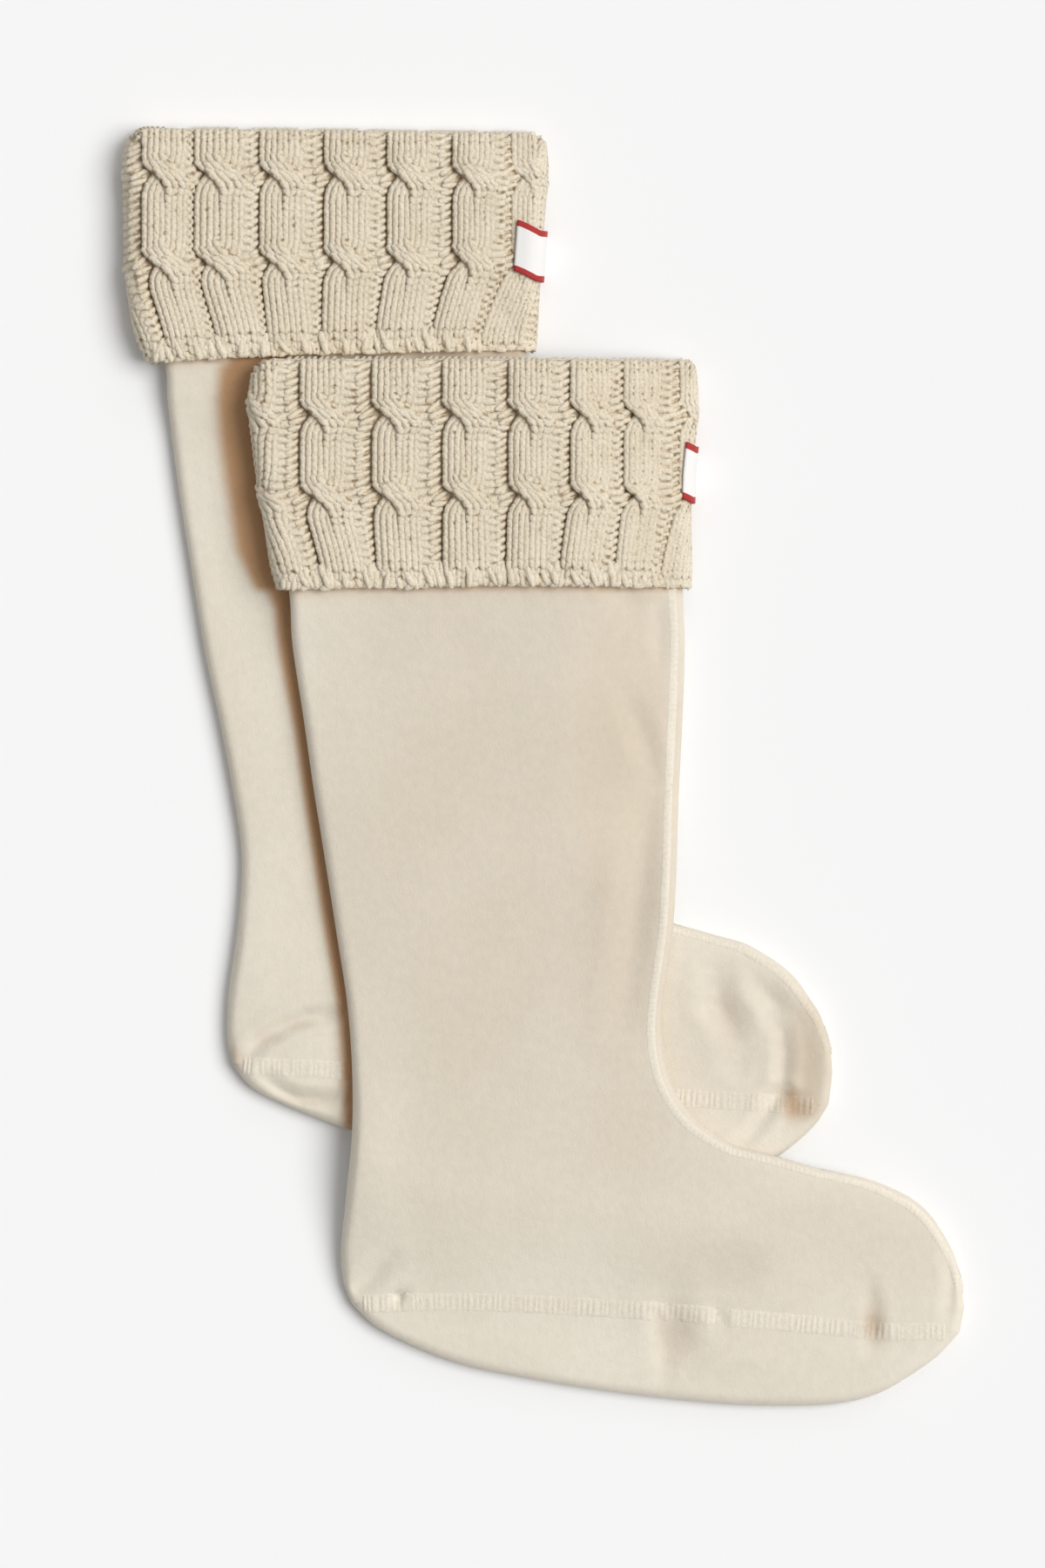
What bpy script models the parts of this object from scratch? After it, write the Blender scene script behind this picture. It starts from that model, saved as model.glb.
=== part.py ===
"""Pair of boot socks laid flat, the front sock lying on the rear one.

Each sock is a fleece leg and foot with a separate sole strip, a cable-knit cuff folded down over the
leg's rim, and a tape label wrapped round the cuff's shin edge.  Every piece is a closed wall lofted
through sections: two layers that lie on each other with a thin flat hollow between them.

Tables and sizes are in millimetres; Shell.build() turns them into metres.  +X points to the toes, +Y up
the leg and +Z away from the surface that the socks lie on.
"""
from __future__ import annotations

import math
from dataclasses import dataclass

import bmesh
import bpy
import numpy as np

MM = 0.001
COLLECTION_NAME = "pair_of_boot_socks"

# Fleece
FLEECE_WALL = 2.8
FLEECE_STACK = 8.0          # both layers and the hollow between them, under the cuff
FLEECE_PUFF = 1.5           # extra loft in the middle of the leg and foot
PUFF_REACH = 16.0           # distance from the outline over which the loft grows
HOLLOW_TAPER = 4.0          # the hollow opens over this distance from its own edge
HOLLOW_LEAST = 0.15         # share of its full height that it has at its edge
HEEL_MARGIN = 0.4           # extra wall where the hollow ends at the sole's tip and at the toe
TOE_MARGIN = 0.8
HEEL_ROWS = 6               # rows of the foot within which the sole strip starts
SEAM_GAP = 0.3
SOLE_TIP_SETBACK = 1.0
TOE_END_SETBACK = 0.2

# Knit cuff
KNIT_WALL = 3.0
CUFF_CLEARANCE = 0.4
CUFF_LIFT = KNIT_WALL + CUFF_CLEARANCE
CUFF_STACK = FLEECE_STACK + 2.0 * CUFF_LIFT
CUFF_HALF = 0.5 * CUFF_STACK
HEM_DEPTH = 8.0             # thick rolled top, where the knit is joined to the leg's rim
HEM_THICKNESS = CUFF_LIFT + FLEECE_WALL
STRETCH_START = HEM_DEPTH + 4.0     # below this the knit stretches to the border's slanting edge
FAR_LAYER_RISE = 2.0        # the far layer's top edge shows above the near one
FAR_RISE_REACH = 8.0
EDGE_RISE = 1.5             # the shin edge of the cuff curls off the surface, under the label
EDGE_RISE_REACH = 24.0
LEG_FALL = 30.0             # below the cuff, the leg settles onto the surface over this length
LEG_FALL_START = 3.0

# Cables and border
CABLE_RELIEF = 2.7
CABLE_COLUMNS = ((-1.0, 0.0), (-0.72, 0.85), (-0.2, 1.0), (0.35, 1.0), (0.75, 0.85), (1.0, 0.0))
CROSSING_RELIEF = 1.3
CROSSING_HALF_LENGTH = 5.0
CROSSING_WIDTH = 0.4
CROSSING_REACH = 1.2
CROSSING_PINCH = 0.12
PINCH_LENGTH = 4.0
PURL_SINK = 0.4
EDGE_CABLE_RELIEF = 1.5     # the cable that wraps round the cuff's back edge
BORDER_DEPTH = 7.0
BORDER_NUB = 0.5
BORDER_EASE = 2.0
BORDER_FLATTENING = 0.75
BORDER_EDGE = 0.7

# Front sock over the rear one
STACK_GAP = 0.9
DRAPE_START = 5.0           # the front sock stays level this far past the rear sock's outline
DRAPE_LENGTH = 62.0

# Label
LABEL_THICKNESS = 0.7
LABEL_GAP = 0.45
LABEL_UNDER_REACH = 4.0
LABEL_ROWS = 4
LABEL_FALL_ANGLE = 60.0     # the label's slant is complete this far round the shin edge
LABEL_FALL_ON_FACE = 0.35

# Mesh density
LEG_STEPS = 1               # sections for each row of a leg's table
FOOT_STEPS = 2
EDGE_ANGLES = (30.0, 60.0, 90.0)
ARC_STEP = 30.0
ARC_ANGLES = (90.0, 60.0, 30.0, 0.0, -30.0, -60.0, -90.0)
PLAIN_COLUMNS = 12
REAR_UNDER_COLUMNS = 3
SOLE_COLUMNS = 2
CUFF_ROWS = 19
INNER_ROWS = 5


@dataclass(frozen=True)
class SockPlan:
    """The plan of one sock as it lies, in millimetres, with a row for each section or fold."""

    name: str
    # back x, back y, shin x, shin y
    leg_rows: tuple[tuple[float, float, float, float], ...]
    # sole edge x, sole edge y, seam x, seam y, instep x, instep y
    foot_rows: tuple[tuple[float, float, float, float, float, float], ...]
    # distance below the cuff's top edge, back x, shin x
    cuff_rows: tuple[tuple[float, float, float], ...]
    # y of the cuff's top edge at its back and at its shin
    cuff_top: tuple[float, float]
    # x, y of the border's lower edge
    cuff_bottom: tuple[tuple[float, float], ...]
    cuff_height: float
    # a cable's left and right x half way down, then left and right x at the border
    cables: tuple[tuple[float, float, float, float], ...]
    crossings: tuple[float, ...]
    # x, y, half length, half width, turn in degrees, depth
    creases: tuple[tuple[float, float, float, float, float, float], ...]
    label: LabelPlan


@dataclass(frozen=True)
class LabelPlan:
    """Where the label lies: its edges below the cuff's top, its reach in from the shin edge, its fall."""

    upper: float
    lower: float
    reach: float
    fall: float


@dataclass(frozen=True)
class Finish:
    """A piece's plain colour and roughness."""

    colour: tuple[float, float, float]
    roughness: float


REAR = SockPlan(
    name="rear",
    leg_rows=(
        (-163.5, 249.0, -4.0, 247.0),
        (-164.0, 221.5, -4.0, 221.5),
        (-163.0, 193.5, -5.5, 193.5),
        (-154.0, 164.0, -7.5, 164.0),
        (-152.5, 146.0, -2.5, 146.0),
        (-148.5, 114.0, 2.0, 112.5),
        (-143.0, 79.0, 2.0, 81.0),
        (-137.5, 45.5, 0.5, 49.0),
        (-131.5, 17.5, -0.5, 22.5),
        (-126.5, -9.0, -2.0, 1.5),
        (-123.0, -32.0, -2.5, -14.5),
        (-123.0, -49.5, -0.5, -28.5),
        (-125.0, -70.5, 3.5, -39.0),
        (-128.0, -91.5, 9.0, -47.0),
        (-128.5, -109.0, 16.0, -53.0),
        (-126.5, -120.5, 24.5, -57.0),
    ),
    foot_rows=(
        (-126.5, -120.5, -126.5, -120.5, 24.5, -57.0),
        (-118.5, -130.0, -114.0, -121.5, 34.0, -60.5),
        (-104.0, -137.5, -99.5, -122.0, 43.5, -62.0),
        (-85.0, -145.0, -80.5, -123.0, 53.0, -64.0),
        (-62.0, -152.5, -57.5, -124.5, 62.5, -66.5),
        (-36.5, -159.5, -33.0, -127.0, 71.5, -69.0),
        (-9.0, -164.5, -7.0, -129.5, 80.5, -71.5),
        (18.0, -167.5, 19.0, -131.5, 88.0, -75.5),
        (42.0, -169.0, 42.5, -133.0, 95.5, -80.5),
        (62.5, -167.5, 63.0, -134.5, 101.5, -86.0),
        (79.5, -164.5, 80.5, -135.5, 106.5, -93.0),
        (93.0, -158.5, 93.5, -136.5, 111.0, -100.0),
        (103.0, -151.0, 104.0, -137.0, 113.5, -107.0),
        (110.0, -144.0, 111.0, -137.0, 115.5, -115.5),
        (114.5, -137.0, 115.0, -134.5, 116.2, -124.0),
    ),
    cuff_rows=(
        (0.0, -165.5, -2.0),
        (4.0, -168.8, 1.4),
        (15.0, -169.5, 2.0),
        (40.0, -169.0, 0.0),
        (62.0, -168.5, -1.5),
        (75.0, -166.5, -2.0),
        (84.0, -163.5, -2.5),
        (91.0, -159.5, -3.0),
    ),
    cuff_top=(257.6, 255.6),
    cuff_bottom=((-160.0, 163.0), (-118.5, 165.5), (-79.5, 166.5), (-44.5, 167.5), (-3.0, 168.0)),
    cuff_height=91.0,
    cables=(
        (-161.0, -144.5, -152.0, -136.0),
        (-141.5, -121.5, -131.5, -114.0),
        (-115.0, -97.0, -111.5, -93.5),
        (-89.0, -71.0, -90.0, -72.0),
        (-63.5, -46.0, -68.5, -50.0),
        (-37.0, -20.5, -46.0, -29.5),
    ),
    crossings=(18.0, 53.0),
    creases=(
        (-101.0, -98.0, 28.0, 4.0, 8.0, 0.8),
        (74.0, -98.0, 14.0, 5.0, -65.0, 0.9),
        (94.0, -100.0, 12.0, 4.0, -50.0, 0.8),
        (95.0, -128.0, 16.0, 4.0, 60.0, 1.0),
    ),
    label=LabelPlan(upper=36.0, lower=58.0, reach=11.5, fall=4.5),
)

FRONT = SockPlan(
    name="front",
    leg_rows=(
        (-113.0, 155.4, 57.5, 155.4),
        (-113.5, 133.5, 56.0, 133.5),
        (-110.0, 105.5, 55.5, 105.5),
        (-103.5, 72.0, 55.5, 72.0),
        (-102.0, 49.0, 56.5, 49.0),
        (-97.5, 19.0, 55.5, 17.5),
        (-93.5, -9.0, 54.0, -12.5),
        (-89.0, -37.0, 53.0, -42.5),
        (-84.0, -69.0, 51.5, -67.0),
        (-80.0, -95.0, 48.5, -88.0),
        (-78.0, -121.5, 47.0, -102.5),
        (-78.0, -148.0, 47.5, -114.5),
        (-80.5, -174.5, 50.0, -125.5),
        (-82.5, -195.5, 54.5, -134.5),
        (-81.5, -208.5, 61.0, -142.5),
        (-78.0, -217.5, 69.0, -148.5),
    ),
    foot_rows=(
        (-78.0, -217.5, -78.0, -217.5, 69.0, -148.5),
        (-68.5, -226.5, -65.0, -217.0, 78.0, -153.5),
        (-52.0, -235.0, -47.0, -216.5, 89.5, -156.5),
        (-31.0, -242.5, -26.0, -216.5, 100.5, -159.5),
        (-6.5, -247.5, -2.0, -217.5, 111.0, -162.5),
        (20.5, -252.0, 24.5, -219.0, 121.0, -164.5),
        (48.0, -255.5, 50.5, -220.5, 131.0, -167.0),
        (75.5, -258.0, 77.0, -223.0, 140.0, -170.5),
        (100.0, -258.5, 101.5, -225.0, 148.5, -175.0),
        (119.5, -257.5, 121.0, -227.0, 155.5, -181.0),
        (135.0, -253.5, 136.5, -228.5, 161.0, -189.0),
        (147.5, -246.5, 148.5, -228.5, 165.0, -196.5),
        (157.5, -239.5, 158.5, -228.5, 167.5, -204.5),
        (163.5, -233.5, 164.5, -228.5, 168.5, -212.0),
        (167.5, -229.0, 168.0, -227.0, 169.5, -218.5),
    ),
    cuff_rows=(
        (0.0, -114.8, 59.6),
        (4.0, -117.8, 62.0),
        (16.0, -119.0, 62.5),
        (30.0, -118.0, 61.5),
        (45.0, -116.0, 60.0),
        (60.0, -113.5, 59.5),
        (78.0, -111.0, 59.8),
        (92.0, -108.0, 60.0),
    ),
    cuff_top=(164.0, 164.0),
    cuff_bottom=((-109.0, 71.0), (-62.0, 72.0), (-9.0, 73.0), (60.0, 72.0)),
    cuff_height=92.0,
    cables=(
        (-98.0, -80.5, -89.5, -72.0),
        (-69.5, -51.0, -67.5, -49.0),
        (-41.0, -23.5, -41.0, -22.0),
        (-14.5, 2.5, -15.5, 2.0),
        (10.5, 26.5, 6.0, 22.5),
        (32.5, 46.0, 28.5, 42.5),
    ),
    crossings=(23.0, 56.0),
    creases=(
        (47.0, 8.0, 17.0, 4.0, -70.0, 0.8),
        (38.0, -75.0, 42.0, 7.0, 86.0, 0.6),
        (54.0, -226.0, 15.0, 6.0, 90.0, 0.9),
        (133.5, -224.0, 14.0, 5.0, 88.0, 1.2),
        (163.0, -209.0, 13.0, 3.5, 80.0, 0.6),
        (-70.5, -206.0, 8.0, 3.0, 42.0, 0.7),
    ),
    label=LabelPlan(upper=33.0, lower=56.5, reach=6.0, fall=3.0),
)

FLEECE = Finish(colour=(0.72, 0.66, 0.55), roughness=0.95)
KNIT = Finish(colour=(0.62, 0.54, 0.41), roughness=0.95)
TAPE = Finish(colour=(0.85, 0.82, 0.78), roughness=0.7)


def smoothstep(value: float) -> float:
    """Ease from 0 to 1."""
    share = min(max(value, 0.0), 1.0)
    return share * share * (3.0 - 2.0 * share)


def refine(rows: tuple[tuple[float, ...], ...], steps: int) -> np.ndarray:
    """Pass a Catmull-Rom curve through a table's rows and return `steps` rows for each stretch."""
    table = np.array(rows)
    padded = np.vstack([2.0 * table[0] - table[1], table, 2.0 * table[-1] - table[-2]])
    finer = []
    for number in range(len(table) - 1):
        before, start, end, after = padded[number:number + 4]
        for step in range(steps):
            t = step / steps
            finer.append(0.5 * (
                2.0 * start
                + (end - before) * t
                + (2.0 * before - 5.0 * start + 4.0 * end - after) * t ** 2
                + (3.0 * start - before - 3.0 * end + after) * t ** 3
            ))
    finer.append(table[-1])
    return np.array(finer)


def row_at(rows: np.ndarray, index: float) -> np.ndarray:
    """A row between two rows of a table."""
    return np.array([np.interp(index, np.arange(len(rows)), column) for column in rows.T])


def unit(vector: np.ndarray) -> np.ndarray:
    """A vector's direction."""
    return vector / max(float(np.linalg.norm(vector)), 1e-9)


def spread(start: np.ndarray, end: np.ndarray, count: int) -> list[np.ndarray]:
    """Evenly spaced plan points from one end of a section to the other."""
    return [start + (end - start) * share for share in np.linspace(0.0, 1.0, count)]


def edge_steps(width: float) -> list[float]:
    """Distances from a rounded edge that follow its quarter circle, within the width."""
    radius = min(0.5 * FLEECE_STACK, 0.4 * width)
    return [radius * (1.0 - math.cos(math.radians(angle))) for angle in EDGE_ANGLES]


def section_points(start: np.ndarray, end: np.ndarray, middle: int) -> list[np.ndarray]:
    """Plan points from one end of a section to the other, closer together at both edges."""
    width = float(np.linalg.norm(end - start))
    steps = edge_steps(width)
    inside = np.linspace(steps[-1], width - steps[-1], middle + 2)[1:-1]
    distances = [0.0, *steps, *inside, *(width - step for step in reversed(steps)), width]
    return [start + unit(end - start) * distance for distance in distances]


class Sock:
    """Heights and sections of one sock, worked out from its plan."""

    def __init__(self, plan: SockPlan, beneath: Sock | None = None):
        self.plan = plan
        self.beneath = beneath
        self.leg = refine(plan.leg_rows, LEG_STEPS)
        self.foot = refine(plan.foot_rows, FOOT_STEPS)
        back = np.vstack([self.leg[:, 0:2], self.foot[1:, 0:2]])
        front = np.vstack([self.leg[:, 2:4], self.foot[1:, 4:6]])
        above_rim = np.array([[0.0, 2.0 * CUFF_STACK]])
        self.outline = np.vstack([back[:1] + above_rim, back, front[::-1], front[:1] + above_rim])
        self.cuff_low = min(y for _, y in plan.cuff_bottom)
        widths = np.linalg.norm(self.foot[:, 0:2] - self.foot[:, 2:4], axis=1)[:HEEL_ROWS]
        self.hollow_start = float(np.interp(FLEECE_WALL + HEEL_MARGIN, widths, np.arange(HEEL_ROWS)))
        self.hollow_end = len(self.foot) - 1.0 - self.toe_rows()

    def toe_rows(self) -> float:
        """How many of the foot's rows the wall at the tip of the toe takes."""
        middles = 0.5 * (self.foot[:, 2:4] + self.foot[:, 4:6])
        from_tip = np.linalg.norm(middles[::-1] - middles[-1], axis=1)
        return float(np.interp(FLEECE_WALL + TOE_MARGIN, from_tip, np.arange(len(from_tip))))

    def edge_distance(self, point: np.ndarray) -> float:
        """Distance in plan from a point to the sock's outline, negative outside it."""
        starts = self.outline
        ends = np.roll(self.outline, -1, axis=0)
        along = ends - starts
        share = ((point - starts) * along).sum(axis=1) / np.maximum((along ** 2).sum(axis=1), 1e-9)
        nearest = starts + along * np.clip(share, 0.0, 1.0)[:, None]
        distance = float(np.sqrt(((point - nearest) ** 2).sum(axis=1)).min())
        crosses = (starts[:, 1] > point[1]) != (ends[:, 1] > point[1])
        rise = np.where(crosses, along[:, 1], 1.0)
        crossing_x = starts[:, 0] + (point[1] - starts[:, 1]) * along[:, 0] / rise
        inside = int((crosses & (crossing_x > point[0])).sum()) % 2 == 1
        return distance if inside else -distance

    def cuff_share(self, y: float) -> float:
        """1 under the cuff, easing to 0 where the leg lies on what is beneath it."""
        return 1.0 - smoothstep((self.cuff_low - LEG_FALL_START - y) / LEG_FALL)

    def base(self, point: np.ndarray) -> float:
        """Height of what the sock lies on: the surface, or the sock beneath and the drape off it."""
        if self.beneath is None:
            return 0.0
        past = -self.beneath.edge_distance(point)
        cover = 1.0 - smoothstep((past - DRAPE_START) / DRAPE_LENGTH)
        share = self.beneath.cuff_share(point[1])
        fullest = FLEECE_STACK + FLEECE_PUFF + share * (CUFF_LIFT - FLEECE_PUFF)
        return cover * (fullest + STACK_GAP)

    def leg_base(self, point: np.ndarray) -> float:
        """Height of the leg's underside, which the cuff's far layer holds up."""
        return self.base(point) + CUFF_LIFT * self.cuff_share(point[1])

    def stack(self, point: np.ndarray) -> float:
        """Thickness of both fleece layers before their edges round off."""
        loft = 1.0 - math.exp(-max(self.edge_distance(point), 0.0) / PUFF_REACH)
        return FLEECE_STACK + FLEECE_PUFF * loft * (1.0 - self.cuff_share(point[1]))

    def crease(self, point: np.ndarray) -> float:
        """Depth of the dimples and creases at a point."""
        depth = 0.0
        for x, y, half_length, half_width, turn, deep in self.plan.creases:
            angle = math.radians(turn)
            offset = point - np.array([x, y])
            along = offset[0] * math.cos(angle) + offset[1] * math.sin(angle)
            across = offset[1] * math.cos(angle) - offset[0] * math.sin(angle)
            depth += deep * math.exp(-(along / half_length) ** 2 - (across / half_width) ** 2)
        return depth

    def outer(self, point: np.ndarray, side: int) -> tuple[float, float, float]:
        """A point of the fleece's outer surface, near side 1 or far side -1, with rounded edges."""
        half = 0.5 * self.stack(point)
        distance = max(self.edge_distance(point), 0.0)
        lean = 1.0 - min(distance / half, 1.0)
        height = half * math.sqrt(max(1.0 - lean * lean, 0.0))
        dent = self.crease(point) if side > 0 else 0.0
        return (point[0], point[1], self.leg_base(point) + half + side * height - dent)

    def inner(self, point: np.ndarray, side: int) -> tuple[float, float, float]:
        """A point of the flat hollow's wall; side 0 is the hollow's edge, half way up."""
        half = 0.5 * self.stack(point)
        from_edge = max(self.edge_distance(point) - FLEECE_WALL, 0.0)
        opened = max(smoothstep(from_edge / HOLLOW_TAPER), HOLLOW_LEAST)
        gap = side * (half - FLEECE_WALL) * opened
        return (point[0], point[1], self.leg_base(point) + half + gap)


class Shell:
    """Collects a wall's points and faces, and turns them into one closed mesh."""

    def __init__(self, name: str):
        self.name = name
        self.points: list[tuple[float, float, float]] = []
        self.faces: list[tuple[int, ...]] = []

    def add(self, points: list[tuple[float, float, float]]) -> list[int]:
        """Add points and return their numbers."""
        first = len(self.points)
        self.points.extend(points)
        return list(range(first, first + len(points)))

    def face(self, *corners: int) -> None:
        """Add a face, without the corners that repeat."""
        kept = [corner for place, corner in enumerate(corners) if corner != corners[place - 1]]
        if len(kept) > 2:
            self.faces.append(tuple(kept))

    def skin(self, rows: list[list[int]]) -> None:
        """Join rows that hold the same number of points."""
        for first, second in zip(rows, rows[1:]):
            for column in range(len(first) - 1):
                self.face(first[column], first[column + 1], second[column + 1], second[column])

    def bridge(self, first: list[int], second: list[int]) -> None:
        """Join two rows that may hold different numbers of points, by length along each."""
        first_share = self.shares(first)
        second_share = self.shares(second)
        i = 0
        j = 0
        while i < len(first) - 1 or j < len(second) - 1:
            first_done = i == len(first) - 1
            second_left = j < len(second) - 1
            if first_done or (second_left and second_share[j + 1] < first_share[i + 1]):
                self.face(first[i], second[j + 1], second[j])
                j += 1
            else:
                self.face(first[i], first[i + 1], second[j])
                i += 1

    def shares(self, row: list[int]) -> np.ndarray:
        """Each point's share of the length along a row."""
        places = np.array([self.points[number] for number in row])
        lengths = np.linalg.norm(np.diff(places, axis=0), axis=1)
        total = np.concatenate([[0.0], np.cumsum(lengths)])
        return total / total[-1]

    def close_seam(self, outer: list[list[int]], inner: list[list[int]], heel: int) -> None:
        """Close the wall along the sole's seam, on both sides, and round the tip of the toe."""
        for column in (0, -1):
            self.skin([[outer[row][column], inner[row][column]] for row in range(heel, len(outer))])
        self.face(outer[-1][0], outer[-1][-1], inner[-1][-1], inner[-1][0])
        for rows, fold in ((outer, self.fold(outer[-1])), (inner, self.fold(inner[-1]))):
            self.bridge(rows[-1][:fold + 1], rows[-1][:fold - 1:-1])

    def fold(self, row: list[int]) -> int:
        """The place in a row where the near layer turns into the far one, farthest from the seam."""
        places = np.array([self.points[number] for number in row])
        return int(np.argmax(np.linalg.norm(places[:, :2] - places[0, :2], axis=1)))

    def build(self, finish: Finish, collection: bpy.types.Collection) -> bpy.types.Object:
        """Make the object, in metres, with its faces turned outwards."""
        mesh = bpy.data.meshes.new(self.name)
        scaled = [tuple(float(value) * MM for value in point) for point in self.points]
        mesh.from_pydata(scaled, [], self.faces)
        shape = bmesh.new()
        shape.from_mesh(mesh)
        bmesh.ops.triangulate(shape, faces=shape.faces[:])
        bmesh.ops.recalc_face_normals(shape, faces=shape.faces[:])
        shape.to_mesh(mesh)
        shape.free()
        mesh.materials.append(make_material(self.name, finish))
        obj = bpy.data.objects.new(self.name, mesh)
        collection.objects.link(obj)
        return obj


def make_material(name: str, finish: Finish) -> bpy.types.Material:
    """A plain Principled material."""
    material = bpy.data.materials.new(name)
    material.use_nodes = True
    shader = material.node_tree.nodes["Principled BSDF"]
    shader.inputs["Base Color"].default_value = (*finish.colour, 1.0)
    shader.inputs["Roughness"].default_value = finish.roughness
    return material


def build_leg(sock: Sock, collection: bpy.types.Collection) -> None:
    """The leg and the foot's upper part: a tube above the heel, open along the sole's seam past it."""
    shell = Shell(f"{sock.plan.name}_leg")
    heel = len(sock.leg) - 1
    toe = len(sock.foot) - 1
    under = PLAIN_COLUMNS if sock.beneath else REAR_UNDER_COLUMNS
    outer_rows = []
    inner_rows = []
    for row in sock.leg:
        start, end = row[0:2], row[2:4]
        near = [sock.outer(point, 1) for point in section_points(start, end, PLAIN_COLUMNS)]
        far = [sock.outer(point, -1) for point in section_points(start, end, under)[-2:0:-1]]
        numbers = shell.add(near + far)
        outer_rows.append(numbers + numbers[:1])
        step = unit(end - start) * FLEECE_WALL
        points = spread(start + step, end - step, PLAIN_COLUMNS)
        ring = [sock.inner(points[0], 0), *(sock.inner(point, 1) for point in points[1:-1])]
        ring += [sock.inner(points[-1], 0), *(sock.inner(point, -1) for point in points[-2:0:-1])]
        numbers = shell.add(ring)
        inner_rows.append(numbers + numbers[:1])
    for number in range(1, toe + 1):
        row = sock.foot[number]
        if number == toe:
            back_one = sock.foot[number - 1]
            row = row + (back_one - row) * TOE_END_SETBACK
        seam, instep = row[2:4], row[4:6]
        start = seam + unit(instep - seam) * 0.5 * SEAM_GAP
        near = [sock.outer(point, 1) for point in section_points(start, instep, PLAIN_COLUMNS)]
        far = [sock.outer(point, -1) for point in section_points(start, instep, under)[-2::-1]]
        outer_rows.append(shell.add(near + far))
        share = number / toe
        hollow = row_at(sock.foot, sock.hollow_start + share * (sock.hollow_end - sock.hollow_start))
        seam, instep = hollow[2:4], hollow[4:6]
        start = seam + unit(instep - seam) * 0.5 * SEAM_GAP
        points = spread(start, instep - unit(instep - seam) * FLEECE_WALL, PLAIN_COLUMNS)
        ring = [sock.inner(point, 1) for point in points[:-1]]
        ring += [sock.inner(points[-1], 0), *(sock.inner(point, -1) for point in points[-2::-1])]
        inner_rows.append(shell.add(ring))
    shell.skin(outer_rows)
    shell.skin(inner_rows)
    shell.bridge(outer_rows[0], inner_rows[0])
    shell.close_seam(outer_rows, inner_rows, heel)
    shell.build(FLEECE, collection)


def build_sole(sock: Sock, collection: bpy.types.Collection) -> None:
    """The sole strip, folded along the foot's lower outline, from a tip at the heel to the toe."""
    shell = Shell(f"{sock.plan.name}_sole")
    toe = len(sock.foot) - 1
    first = sock.foot[1]
    inward = unit(0.5 * (first[0:2] + first[2:4]) - sock.foot[0][0:2])
    tip = sock.foot[0][0:2] + inward * SOLE_TIP_SETBACK
    count = 2 * len(section_points(np.zeros(2), np.ones(2), SOLE_COLUMNS)) - 1
    outer_rows = [shell.add([sock.outer(tip, 1)]) * count]
    start_row = row_at(sock.foot, sock.hollow_start)
    hollow_count = 2 * (SOLE_COLUMNS + 3) - 1
    inner_tip = start_row[2:4] - unit(start_row[4:6] - start_row[2:4]) * 0.5 * SEAM_GAP
    inner_rows = [shell.add([sock.inner(inner_tip, 0)]) * hollow_count]
    for number in range(1, toe + 1):
        row = sock.foot[number]
        if number == toe:
            back_one = sock.foot[number - 1]
            row = row + (back_one - row) * TOE_END_SETBACK
        edge, seam, instep = row[0:2], row[2:4], row[4:6]
        start = seam - unit(instep - seam) * 0.5 * SEAM_GAP
        points = section_points(start, edge, SOLE_COLUMNS)
        ring = [sock.outer(point, 1) for point in points]
        ring += [sock.outer(point, -1) for point in points[-2::-1]]
        outer_rows.append(shell.add(ring))
        share = number / toe
        hollow = row_at(sock.foot, sock.hollow_start + share * (sock.hollow_end - sock.hollow_start))
        edge, seam, instep = hollow[0:2], hollow[2:4], hollow[4:6]
        start = seam - unit(instep - seam) * 0.5 * SEAM_GAP
        width = float(np.linalg.norm(edge - start))
        end = start + unit(edge - start) * max(width - FLEECE_WALL, HOLLOW_LEAST * width)
        points = spread(start, end, SOLE_COLUMNS + 3)
        ring = [sock.inner(point, 1) for point in points[:-1]]
        ring += [sock.inner(points[-1], 0), *(sock.inner(point, -1) for point in points[-2::-1])]
        inner_rows.append(shell.add(ring))
    shell.skin(outer_rows)
    shell.skin(inner_rows)
    shell.close_seam(outer_rows, inner_rows, 0)
    shell.build(FLEECE, collection)


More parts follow.
